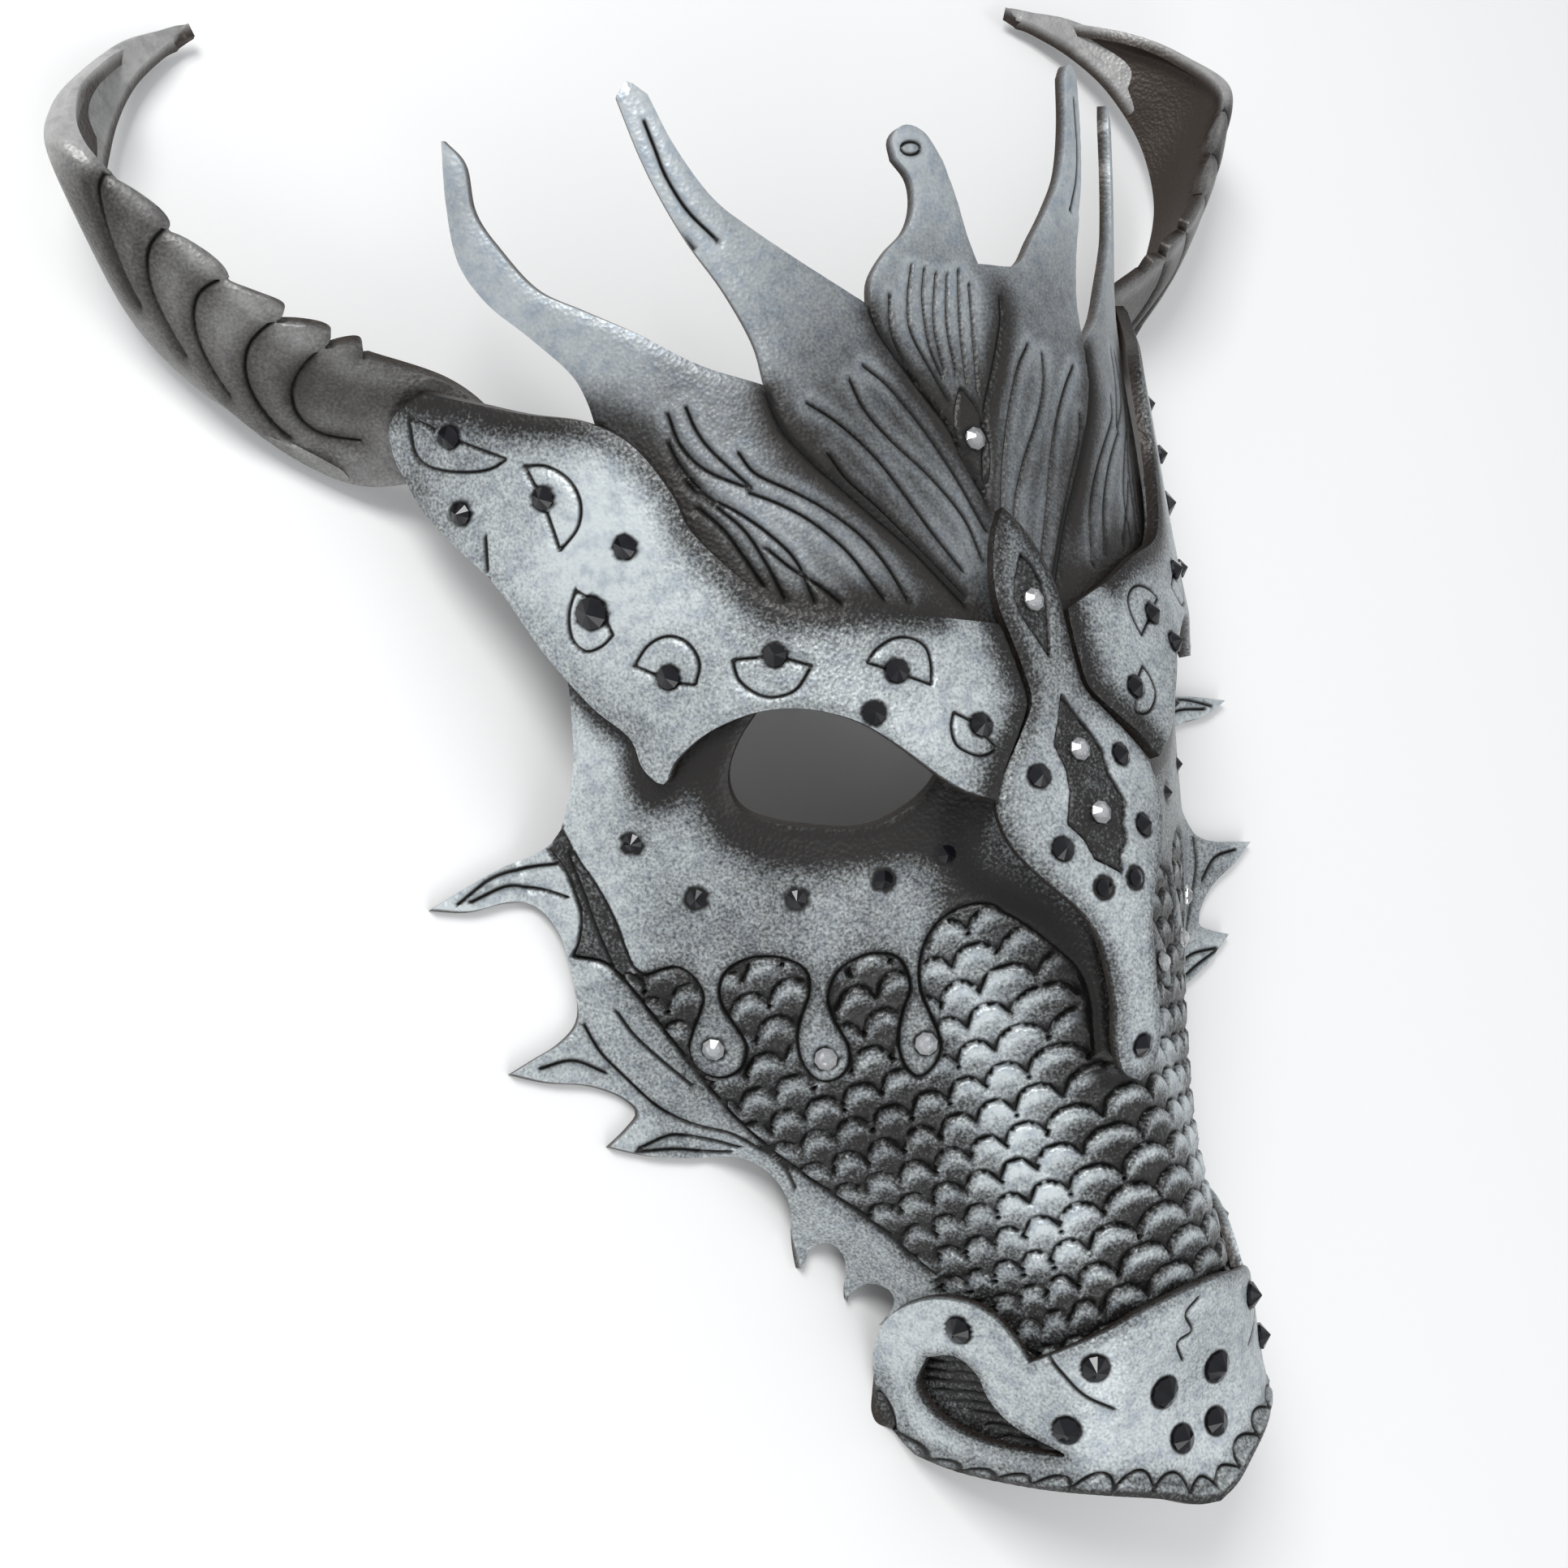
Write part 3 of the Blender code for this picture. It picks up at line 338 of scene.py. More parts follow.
NOSE_INSETS = [
    [(1255, 683), (1248, 715), (1248, 739), (1257, 760), (1274, 785), (1290, 809), (1290, 781),
     (1288, 746), (1281, 718), (1267, 694), (1255, 683)],
    [(1304, 857), (1301, 887), (1295, 918), (1310, 950), (1315, 978), (1311, 1016), (1331, 1034),
     (1345, 1059), (1366, 1069), (1379, 1076), (1376, 1055), (1385, 1034), (1381, 1016),
     (1383, 988), (1362, 953), (1355, 925), (1338, 901), (1317, 876), (1304, 857)],
]
DRIP_EDGE = [
    (797, 1202), (823, 1193), (841, 1195), (859, 1211), (866, 1233), (854, 1269), (848, 1295), (859, 1318),
    (886, 1329), (912, 1318), (919, 1291), (908, 1269), (890, 1242), (886, 1215), (899, 1193),
    (930, 1180), (966, 1182), (993, 1197), (997, 1224), (988, 1251), (982, 1278), (988, 1309),
    (1006, 1331), (1029, 1331), (1046, 1313), (1044, 1287), (1029, 1260), (1020, 1233), (1029, 1202),
    (1051, 1184), (1078, 1175), (1109, 1182), (1122, 1215), (1113, 1246), (1107, 1278), (1113, 1309),
    (1131, 1327), (1151, 1313), (1160, 1287), (1149, 1255), (1136, 1224), (1133, 1193), (1140, 1162),
    (1158, 1135), (1189, 1117), (1220, 1115), (1236, 1125), (1267, 1143), (1302, 1171), (1327, 1195),
    (1341, 1227), (1345, 1259), (1348, 1294),
]
JAW_BAND_TOP = [(709, 1179), (742, 1185), (765, 1204), (787, 1230), (819, 1271), (851, 1312), (899, 1370),
                (946, 1414), (996, 1452), (1043, 1484), (1091, 1519), (1123, 1548), (1149, 1570)]
JAW_BAND_LOW = [(717, 1265), (736, 1297), (765, 1325), (806, 1360), (851, 1383), (899, 1395),
                (930, 1411), (961, 1430), (980, 1462)]
CHEEK_BAND = [(691, 1019), (710, 1054), (736, 1092), (758, 1134), (771, 1169), (781, 1191), (797, 1202)]
FACE_LINES = [
    [(679, 1048), (698, 1073), (709, 1099), (717, 1127), (714, 1159), (708, 1174)],
    [(761, 1247), (781, 1274), (812, 1303), (851, 1335)],
    [(700, 1050), (716, 1090), (738, 1150), (756, 1190)],
    [(560, 1116), (600, 1085), (645, 1070), (685, 1064)],
    [(575, 1114), (620, 1094), (660, 1094), (700, 1105)],
    [(660, 1318), (700, 1308), (740, 1322)],
    [(780, 1416), (825, 1398), (870, 1402), (910, 1412)],
    [(778, 1420), (830, 1416), (900, 1418)],
]
MUZZLE_LINES = [
    [(1287, 1668), (1310, 1695), (1337, 1721), (1373, 1737)],
    [(1477, 1600), (1462, 1620), (1470, 1640), (1452, 1655), (1458, 1676)],
]


def projected(points):
    """Where points of the pattern frame show in the picture."""
    reach = points - EYE
    depth = -(reach @ EYE_BACK)
    across = PICTURE_MIDDLE + FOCAL * (reach @ EYE_RIGHT) / depth
    down = PICTURE_MIDDLE - FOCAL * (reach @ EYE_UP) / depth
    return np.stack([across, down], -1)


SEARCH_ROUNDS = 12
CURVE_STEPS = 6
NUDGE = 0.05            # the small move that tells how a place shifts in the picture


def on_pattern(pixels, points_at, low, high, step=2.0):
    """The places on a pattern that show at the given pixels."""
    gx, gy = np.meshgrid(np.arange(low[0], high[0], step), np.arange(low[1], high[1], step))
    grid = np.stack([gx.ravel(), gy.ravel()], -1)
    seen = projected(points_at(grid[:, 0], grid[:, 1]))
    pixels = np.array(pixels, float)
    nearest = [int(np.hypot(*(seen - pixel).T).argmin()) for pixel in pixels]
    places = grid[nearest]
    for _ in range(SEARCH_ROUNDS):
        here = projected(points_at(places[:, 0], places[:, 1]))
        by_x = (projected(points_at(places[:, 0] + NUDGE, places[:, 1])) - here) / NUDGE
        by_y = (projected(points_at(places[:, 0], places[:, 1] + NUDGE)) - here) / NUDGE
        miss = pixels - here
        det = by_x[:, 0] * by_y[:, 1] - by_x[:, 1] * by_y[:, 0]
        det = np.where(np.abs(det) < 1e-3, 1e-3, det)
        move = np.stack([(miss[:, 0] * by_y[:, 1] - miss[:, 1] * by_y[:, 0]) / det,
                         (by_x[:, 0] * miss[:, 1] - by_x[:, 1] * miss[:, 0]) / det], -1)
        places = places + np.clip(move, -step, step)
    return places


# Boxes of the pattern in which strokes are looked for: the half that the picture shows best, the
# ring-tipped lock, the nose plate and the muzzle
LEFT_BOX = (-96, -106), (9, 150)
CROWN_BOX = (-40, 40), (25, 136)
NOSE_BOX = (-20, -34), (20, 70)
MUZZLE_BOX = (-34, -104), (34, -56)


def right_half(pixels, points_at):
    """Lines read on the left half, turned over onto the right half's pattern."""
    places = on_pattern(pixels, points_at, *LEFT_BOX)
    return places * (-1, 1)


def half_curves(lines, points_at):
    return [spline(right_half(line, points_at), CURVE_STEPS) for line in lines]


# Fields over a pattern

def inside(points, loop):
    x, y = points[:, 0][:, None], points[:, 1][:, None]
    ax, ay = loop[:, 0][None], loop[:, 1][None]
    bx, by = np.roll(loop[:, 0], -1)[None], np.roll(loop[:, 1], -1)[None]
    spans = (ay > y) != (by > y)
    cross_x = ax + (y - ay) * (bx - ax) / np.where(by == ay, 1e-9, by - ay)
    return ((spans & (x < cross_x)).sum(axis=1) % 2) == 1


def inside_all(points, loop, batch=4000):
    """The same for many points, a batch at a time."""
    return np.concatenate([inside(points[k:k + batch], loop) for k in range(0, len(points), batch)])


def flat_points(x, y):
    return np.stack([x, y, 0 * x], -1)


def gap_to(points, curves, points_at=flat_points, step=0.2):
    """Distance from each point to the nearest of some curves, on the flat pattern or bent."""
    dense = np.vstack([spaced(np.asarray(curve, float), step) for curve in curves])
    tree = KDTree(len(dense))
    for k, place in enumerate(points_at(dense[:, 0], dense[:, 1])):
        tree.insert(place, k)
    tree.balance()
    return np.array([tree.find(place)[2] for place in points_at(points[:, 0], points[:, 1])])


def closed(loop):
    return np.vstack([loop, loop[:1]])


def halo(gap, reach):
    return np.exp(-(gap / reach) ** 2)


def shaded(silver, *shades):
    """Silver paint lessened along some lines, and raised where the amount is negative, for painted shade
    and highlights as well as the paint's own tone: the gap to them, how much and how far.
    """
    for gap, amount, reach in shades:
        silver = silver - amount * halo(gap, reach)
    return silver


def folded(flat):
    """Both halves of a pattern laid on the right one."""
    return np.abs(flat[:, :1]) * (1, 0) + flat * (0, 1)


LINE_INK = 0.42         # how far the black of a carved line spreads
SEAT_INK = 0.45         # and the black round a crystal's seat


def seated_black(black, side, points_at, *seated):
    """The dark ring round each crystal's seat: places and radius of each size."""
    for places, radius in seated:
        past = gap_to(side, [np.array([place, place], float) for place in places], points_at) - radius
        black = np.maximum(black, halo(np.maximum(past, 0), SEAT_INK))
    return black


# The scales of the snout, whose rounded ends point to the eyes

SCALE_WIDE, SCALE_NARROW, SCALE_ROW = 11.5, 7.6, 5.2    # widths on the ridge and sides, row to row
GIRTH_SHARE = 0.55      # how much a steep side widens a row
RIDGE_GIRTH = 16.0      # scales are wide this far from the ridge
ROW_BOW = 0.06          # rows bend towards the muzzle at the sides
ARCH_ROWS = 0.78        # height of a scale's rounded end, in rows
SCALE_RISE = 0.75
SCALE_CUT = 0.75        # depth of the undercut in front of a rounded end
CUT_WIDTH = 0.75
SCALE_FALL, SCALE_ROUND = 2.2, 0.35     # how a scale sinks behind its end, and how round the end is
HIGHLIGHT_BEHIND, HIGHLIGHT_REACH, HIGHLIGHT_FADE = 1.5, 1.2, 0.8   # painted highlight on the swell behind a rounded end


def snout_frame(x, y):
    half, rim, crest, full, ridge = along(FACE_SECTIONS, y)
    slope = (crest - rim) * full / half * (np.abs(x) / half) ** (full - 1)
    girth = np.abs(x) * np.sqrt(1 + (GIRTH_SHARE * slope) ** 2)
    share = np.exp(-(girth / RIDGE_GIRTH) ** 2)
    column = np.sign(x) * girth / (SCALE_NARROW + (SCALE_WIDE - SCALE_NARROW) * share)
    return column, (-y - ROW_BOW * girth) / SCALE_ROW


def round_end(column, level):
    """Where the rounded ends of one row of scales run, in rows, and how near to their middles."""
    shift = 0.5 * (level % 2)
    off = column - shift - np.round(column - shift)
    return level + ARCH_ROWS * (1 - np.sqrt(np.maximum(1 - (2 * off) ** 2, 0))), np.abs(2 * off)


def scale_relief(x, y):
    """Height, darkness and painted highlight of the scales."""
    column, row = snout_frame(x, y)
    level = np.floor(row)
    for _ in range(2):
        end, _off = round_end(column, level)
        level = np.where(row < end, level - 1, level)
    own, own_off = round_end(column, level)
    next_end, off = round_end(column, level + 1)
    behind = (row - own) * SCALE_ROW
    steepness = 1.1 * off / np.sqrt(np.maximum(1 - off**2, 0.05))
    before = (next_end - row) * SCALE_ROW / np.sqrt(1 + steepness**2)
    crescent = halo(np.maximum(before, 0), CUT_WIDTH)
    swell = np.exp(-behind / SCALE_FALL) * (1 - np.exp(-behind / SCALE_ROUND))
    # Painted highlight: lighter silver on the swell just behind each rounded end
    light = halo(behind - HIGHLIGHT_BEHIND, HIGHLIGHT_REACH) * (1 - HIGHLIGHT_FADE * own_off**2)
    return SCALE_RISE * swell - SCALE_CUT * crescent, crescent, light


# Looks of each leather piece: rise in millimetres, silver paint and black, 0 to 1; besides paint and
# carved lines' ink they carry painted highlights and painted shade

NOSTRIL_RIBS = 9
RIB_FROM, RIB_TO = (30.0, -66.0), (21.0, -88.0)     # the row of the ribs' middles
RIB_REACH = (4.5, 3.2)      # from a rib's middle to its end
NOSTRIL_BACK = -64.0, 23.8  # the ribbed part is below this y and outside this x


def face_carving():
    """Drips, bands, cheek lines and the ribs inside the nostrils, on the right half."""
    drip, jaw, jaw_low, band, *lines = half_curves(
        [DRIP_EDGE, JAW_BAND_TOP, JAW_BAND_LOW, CHEEK_BAND] + FACE_LINES, face_points)
    ribs = []
    for k in range(NOSTRIL_RIBS):
        middle = np.array(RIB_FROM) + (np.array(RIB_TO) - RIB_FROM) * (k + 0.5) / NOSTRIL_RIBS
        ribs.append(np.array([middle - RIB_REACH, middle + RIB_REACH]))
    return drip, jaw, jaw_low, band, lines, ribs


def snout_region(side):
    """Where the snout has scales, between the drips, the jaw band and the muzzle plate."""
    drip, jaw, *_ = face_carving()
    snout_front = np.array([(29, -62), (29, -70), (0, -70), (0, -31)])
    scaled = np.vstack([drip, snout_front[::-1], jaw[::-1]])
    return inside_all(side, scaled) | (side[:, 1] < -66) & (side[:, 0] < 29)


CHEEK_RAISE = 0.6       # how far the smooth leather stands above the ground of the scales


def face_look(flat):
    side = folded(flat)
    x, y = side[:, 0], side[:, 1]
    drip, jaw, jaw_low, band, lines, ribs = face_carving()
    region = snout_region(side)
    height, crescent, light = scale_relief(flat[:, 0], y)
    edge_gap = gap_to(side, [drip, jaw], face_points)
    cut_gap = gap_to(side, [drip, jaw, jaw_low, band] + lines + ribs, face_points)
    eye_gap = gap_to(side, [closed(outline([EYE_LOW, EYE_TOP], 0.5))], face_points)
    brow_gap = gap_to(side, [closed(outline(brow_strokes(), 0.5))], face_points)
    nose_gap = gap_to(side, [spline(NOSE_SIDE)])
    tip_gap = gap_to(side, [[(92.5, 31), (90, 31)], [(87, 0.8), (84, 1)], [(73.5, -16), (70, -17)]])

    nostril = (y < NOSTRIL_BACK[0]) & (x > NOSTRIL_BACK[1])
    # Painted highlight along the shoulder of the nose ridge
    ridge_highlight = halo(x - 17, 6.5) * ease(12, -16, y) * ease(-66, -50, y)
    height = np.where(nostril, 0.0, height)
    rise = np.where(region & (edge_gap > 0.7), height, 0.0)
    rise = rise + np.where(region, 0.0, CHEEK_RAISE * ease(0.0, 1.0, edge_gap))
    rise = rise - LINE_DEPTH * halo(cut_gap, LINE_WIDTH)
    # Dark scales lit by painted highlights on each scale's swell and along the ridge's shoulder
    scales = 0.06 + 0.50 * ridge_highlight + (0.42 + 0.25 * halo(x, 14) * ease(-10, -45, y)) * light
    scales = np.where(nostril, 0.10, scales)
    crescent = np.where(nostril, 0.0, crescent)
    # Painted shadow under the brow plates' edge and painted shade beside the nose plate darken the cheeks
    cheeks = shaded(0.53, (np.hypot(x - 38, y - 8), 0.12, 20), (eye_gap, 0.9 * (y < 44), 6.0),
                    (brow_gap, 0.75, 4.0), (nose_gap, 0.55, 6.0), (edge_gap, 0.18, 2.2))
    cheeks = cheeks + 0.16 * ease(56, 68, x) * (y > 12)
    in_band = inside_all(side, np.vstack([band[:-6], jaw[9::-1], lines[0][::-1]]))
    cheeks = np.where(in_band, 0.10, cheeks) + 0.2 * halo(tip_gap, 6)
    silver = np.where(region | nostril, scales, cheeks)
    black = np.maximum(halo(cut_gap, 0.5), np.where(region & (edge_gap > 0.5), crescent, 0.0))
    # Painted shade, in black, in the gap beside the nose plate
    black = np.maximum(black, 0.85 * halo(nose_gap, 2.6) * (y > -31))
    return rise, silver, seated_black(black, side, face_points,
                                      (CHEEK_CRYSTALS + DRIP_CRYSTALS, SMALL_CRYSTAL))


def brow_carving():
    lids = []
    for eye, (first, second) in zip(BROW_EYES, LID_STOPS):
        lids += [[eye[0], first], [second, eye[-1]]]
    return half_curves(BROW_EYES + lids + BROW_STROKES, brow_points)


def brow_look(flat):
    gap = gap_to(flat, brow_carving(), brow_points)
    top = gap_to(flat, [spline(BROW_TOP)])
    inner = gap_to(flat, [spline(brow_strokes()[4])])
    low = gap_to(flat, [spline(BROW_LOW)])
    silver = shaded(0.60, (top, 0.60, 3.4), (inner, 0.65, 4.2), (low, 0.10, 2.0))
    # Painted highlight on the brow's outer bulge
    bulge_highlight = halo(np.hypot(flat[:, 0] - 60, (flat[:, 1] - 80) * 0.7), 11)
    silver = silver - 0.14 * ease(88, 104, flat[:, 1]) + 0.38 * bulge_highlight
    black = seated_black(halo(gap, LINE_INK), flat, brow_points, (BROW_CRYSTALS, SMALL_CRYSTAL),
                         ([BROW_BIG_CRYSTAL], BIG_CRYSTAL))
    return -LINE_DEPTH * halo(gap, LINE_WIDTH), silver, black


LOOP_POINTS = 25


def mane_carving():
    """Lines and lock edges of the right half, then the middle lock's lines and its inset."""
    lines, steps = [half_curves(group, lining_points) for group in (MANE_LINES, MANE_STEPS)]
    turns = np.linspace(0, 2 * math.pi, LOOP_POINTS)
    ring = np.array(RING) + np.stack([RING_SIZE[0] * np.cos(turns), RING_SIZE[1] * np.sin(turns)], -1)
    middle_lines = [spline(on_pattern(line, lining_points, *CROWN_BOX), CURVE_STEPS)
                    for line in RING_LOCK_LINES]
    middle_lines.append(on_pattern(ring, lining_points, *CROWN_BOX))
    half = np.linspace(-1, 1, LOOP_POINTS)
    side = np.stack([MANE_INSET[0] * (1 - half**2), MANE_INSET[1] * half], -1)
    inset = np.vstack([side, side[::-1] * (-1, 1)]) + MANE_CRYSTAL
    return lines, steps, middle_lines, inset


def mane_look(flat):
    side = folded(flat)
    lines, steps, middle_lines, inset = mane_carving()
    gap = np.minimum(gap_to(side, lines, lining_points),
                     gap_to(flat, middle_lines + [inset], lining_points))
    step_gap = gap_to(side, steps, lining_points)
    foot = gap_to(side, [spline(MANE_FOOT), spline(BROW_TOP)])
    rise = -LINE_DEPTH * halo(gap, LINE_WIDTH) - 0.75 * halo(step_gap, 0.7)
    silver = 0.26 + 0.42 * ease(86, 122, flat[:, 1]) + 0.10 * ease(20, 46, side[:, 0])
    # Painted shadow along the lock edges, where one lock lies over another, here in the silver and below
    # in the black
    silver = shaded(silver, (foot, 0.45, 4.5), (step_gap, 0.35, 3.2), (gap - 1.4, -0.14, 0.9))
    silver = np.where(inside_all(flat, inset), 0.05, silver)
    black = np.maximum(halo(gap, LINE_INK), halo(step_gap, 0.75))
    return rise, silver, seated_black(black, flat, lining_points, ([MANE_CRYSTAL], CLEAR_CRYSTAL))


def nose_carving():
    insets = [on_pattern(loop, nose_points, *NOSE_BOX) for loop in NOSE_INSETS]
    return [loop - (0.5 * (loop[:, 0].min() + loop[:, 0].max()), 0) for loop in insets]


def nose_look(flat):
    insets = nose_carving()
    side = folded(flat)
    gap = gap_to(flat, insets)
    edge = gap_to(side, [spline(NOSE_SIDE)])
    dark = inside_all(flat, insets[0]) | inside_all(flat, insets[1])
    silver = np.where(dark, 0.06, 0.60 - 0.30 * halo(edge, 1.8) - 0.32 * ease(20, 44, flat[:, 1]))
    rise = -LINE_DEPTH * halo(gap, LINE_WIDTH) - np.where(dark, 0.3, 0.0)
    seated = NOSE_PAIRS + [NOSE_LAST] + NOSE_RINGED
    return rise, silver, seated_black(halo(gap, LINE_INK), side, nose_points, (seated, SMALL_CRYSTAL))


SCALLOPS = 10
SCALLOP_DEPTH = 4.6
MUZZLE_MIDDLE = (0, -70)
SCALLOP_FOOT = 0.12     # share of the depth that is left between two scallops


def muzzle_carving():
    """The lobe's line, the vein and the row of scallops along the front edge."""
    line, = half_curves(MUZZLE_LINES[:1], muzzle_points)
    vein = spline(on_pattern(MUZZLE_LINES[1], muzzle_points, *MUZZLE_BOX), CURVE_STEPS)
    rim = spaced(spline(MUZZLE_LOBE[-3:] + MUZZLE_FRONT[1:]), 0.25)
    bent = np.linalg.norm(np.diff(muzzle_points(*rim.T), axis=0), axis=1)
    lengths = np.concatenate([[0], np.cumsum(bent)]) * SCALLOPS / bent.sum()
    inward = np.gradient(rim, axis=0)[:, ::-1] * (1, -1)
    inward /= np.linalg.norm(inward, axis=1, keepdims=True)
    inward *= np.sign((MUZZLE_MIDDLE - rim) * inward).sum(axis=1, keepdims=True).clip(-1, 1)
    round_top = np.sqrt(np.abs(np.sin(math.pi * lengths)))
    bow = SCALLOP_DEPTH * (SCALLOP_FOOT + (1 - SCALLOP_FOOT) * round_top)
    level = surface_normals(muzzle_points, *(rim + inward * SCALLOP_DEPTH * 0.5).T)[:, 2]
    return line, vein, rim, rim + inward * (bow * level)[:, None]


def muzzle_look(flat):
    side = folded(flat)
    line, vein, rim, scallops = muzzle_carving()
    gap = np.minimum(gap_to(side, [line, scallops], muzzle_points), gap_to(flat, [vein], muzzle_points))
    rim_gap = gap_to(side, [rim], muzzle_points)
    nostril_gap = gap_to(side, [spline(NOSTRIL)], muzzle_points)
    top_gap = gap_to(side, [spline(MUZZLE_TOP)], muzzle_points)
    # Painted highlight along the rounded tops of the scallops, 1.8 mm in from the rim
    silver = shaded(0.70, (nostril_gap, 0.35, 1.3), (top_gap, 0.25, 1.6), (rim_gap, 0.66, 4.0),
                    (rim_gap - 1.8, -0.28, 0.7))
    rise = -LINE_DEPTH * halo(gap, LINE_WIDTH) + 0.45 * halo(rim_gap - 1.6, 1.0)
    black = seated_black(halo(gap, LINE_INK), side, muzzle_points, ([MUZZLE_BIG_CRYSTAL], BIG_CRYSTAL),
                         (MUZZLE_CRYSTALS + [LOBE_CRYSTAL], MUZZLE_CRYSTAL))
    return rise, silver, black


# Sheets of leather

def carved_rows(lines):
    """Points along carved lines and their banks, none too near to another."""
    rows = []
    for line in lines:
        middle = spaced(np.asarray(line, float), LINE_STEP)
        run = np.gradient(middle, axis=0)
        length = np.maximum(np.linalg.norm(run, axis=1), 1e-6)
        out = np.stack([-run[:, 1], run[:, 0]], -1) / length[:, None]
        rows += [middle, middle + out * LINE_BANK, middle - out * LINE_BANK]
    points = np.vstack(rows)
    _, first = np.unique(np.round(points / LINE_APART), axis=0, return_index=True)
    return points[np.sort(first)]


def on_leather(points, loops):
    """Which points are inside the outline and outside the holes."""
    keep = inside_all(points, loops[0])
    for hole in loops[1:]:
        keep &= ~inside_all(points, hole)
    return keep


def within(points, loops, margin):
    points = points[on_leather(points, loops)]
    return points[gap_to(points, [closed(loop) for loop in loops]) > margin]


def lattice(loop, step):
    """Evenly spread points over a pattern's box."""
    low, high = loop.min(axis=0), loop.max(axis=0)
    middle = 0.5 * (low[0] + high[0])
    reach = math.ceil((high[0] - low[0]) / step)
    columns = middle + step * np.arange(-reach, reach + 1)
    rows = np.arange(low[1], high[1], step * math.sqrt(3) / 2)
    return np.vstack([np.stack([columns + 0.5 * step * (k % 2), np.full(len(columns), y)], -1)
                      for k, y in enumerate(rows)])


def filling(loops, step, lines, region):
    grid = lattice(loops[0], step)
    grid = within(grid, loops, EDGE_STEPS * step)
    if region:
        grid = grid[~region(folded(grid))]
        fine = within(lattice(loops[0], SCALE_FINE), loops, EDGE_STEPS * SCALE_FINE)
        grid = np.vstack([grid, fine[region(folded(fine))]])
    if not lines:
        return grid
    grid = grid[gap_to(grid, lines) > LINE_CLEAR]
    return np.vstack([grid, within(carved_rows(lines), loops, EDGE_CLEAR)])


def cut_pattern(loops, step, lines, region):
    """Points and triangles that fill a pattern, with edges along its outline and holes."""
    flat = [tuple(p) for loop in loops for p in loop]
    edges = []
    start = 0
    for loop in loops:
        edges += [(start + k, start + (k + 1) % len(loop)) for k in range(len(loop))]
        start += len(loop)
    flat += [tuple(p) for p in filling(loops, step, lines, region)]
    placed, _, faces, *_ = delaunay_2d_cdt(flat, edges, [], 0, 1e-6)
    flat = np.array([tuple(p) for p in placed])
    faces = np.array([tuple(f) for f in faces])
    return flat, faces[on_leather(flat[faces].mean(axis=1), loops)]


def bent_sheet(flat, loops, points_at, rise):
    """Outer and inner points of a sheet that lies on a surface, with its relief and rubbed edges."""
    outer = points_at(flat[:, 0], flat[:, 1])
    normals = surface_normals(points_at, flat[:, 0], flat[:, 1])
    back = outer - normals * LEATHER
    back[:, 2] = np.maximum(back[:, 2], 0.0)
    outer[:, 2] = np.maximum(outer[:, 2], back[:, 2] + EDGE_SHARE * LEATHER * np.abs(normals[:, 2]))
    rim_gap = gap_to(flat, [closed(loop) for loop in loops])
    rubbed = EDGE_ROUND * np.maximum(1 - rim_gap / EDGE_REACH, 0) ** 2
    return np.vstack([outer + normals * (rise - rubbed)[:, None], back])


def sheet_mesh(name, vertices, faces, silver, black):
    """A closed sheet from its outer and inner points and the outer side's triangles."""
    count = len(silver)
    directed = {(int(f[k]), int(f[(k + 1) % 3])) for f in faces for k in range(3)}
    rim = sorted((a, b) for a, b in directed if (b, a) not in directed)
    quads = [(b, a, a + count, b + count) for a, b in rim]
    mesh = bpy.data.meshes.new(name)
    mesh.from_pydata(vertices.tolist(), [], faces.tolist() + (faces[:, ::-1] + count).tolist() + quads)
    plain = np.zeros(count)
    for word, outer, inner in (("silver", silver, plain), ("black", black, plain),
                               ("inner", plain, plain + 1)):
        values = np.concatenate([outer, inner]).astype(np.float32)
        mesh.attributes.new(word, "FLOAT", "POINT").data.foreach_set("value", values)
    shape = bmesh.new()
    shape.from_mesh(mesh)
    bmesh.ops.delete(shape, geom=[v for v in shape.verts if not v.link_faces], context="VERTS")
    bmesh.ops.recalc_face_normals(shape, faces=shape.faces)
    shape.to_mesh(mesh)
    shape.free()
    mesh.shade_smooth()
    mesh.set_sharp_from_angle(angle=SHARP)
    return mesh


def leather(name, loops, points_at, look, paint, node, step, mirror=False, lines=(), region=None):
    """A carved and painted sheet that follows a surface and stands for a solid of the model."""
    flat, faces = cut_pattern(loops, step, lines, region)
    rise, silver, black = look(flat)
    vertices = bent_sheet(flat, loops, points_at, rise)
    if mirror:
        vertices[:, 0] *= -1
        faces = faces[:, ::-1]
    mesh = sheet_mesh(name, np.clip(in_frame(vertices), CAD_LOW, CAD_HIGH), faces, silver, black)
    mesh.materials.append(paint)
    piece = shown(name, mesh)
    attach(piece, "root")
    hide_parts(node)
    return piece


# Horns: three lines along each horn and a bowed section through them

HORN_LOWER = [(86, 104, 4.8), (99, 115, 3.2), (110, 127, 3), (117, 140, 4), (117.5, 155, 4.6),
              (112.5, 168, 4.4), (105.5, 178, 2.4), (98, 184.4, 0.8), (92, 188.6, 0.2)]
HORN_MIDDLE = [(92.5, 112, 9), (105, 120.4, 12.5), (115, 133.4, 17.4), (122, 144.6, 21),
               (127, 157.6, 21.6), (122.6, 168, 15.6), (114, 177.4, 9.6), (104, 185.2, 4.6),
               (91.6, 189.6, 2.6)]
HORN_UPPER = [(86, 118.4, 25), (94, 122.4, 26.6), (104, 130.6, 28), (113, 143.6, 27.6),
              (122, 156.6, 27.6), (119.6, 168.6, 21.4), (112.6, 176.6, 16), (103.6, 184.4, 7),
              (91.2, 190, 3.6)]
HORN_ROOT = [(75, 96), (74.5, 101), (72.6, 104.4)]
HORN_ROOT_OUT = [(80.5, 99.5), (80.5, 106), (77, 111.5)]
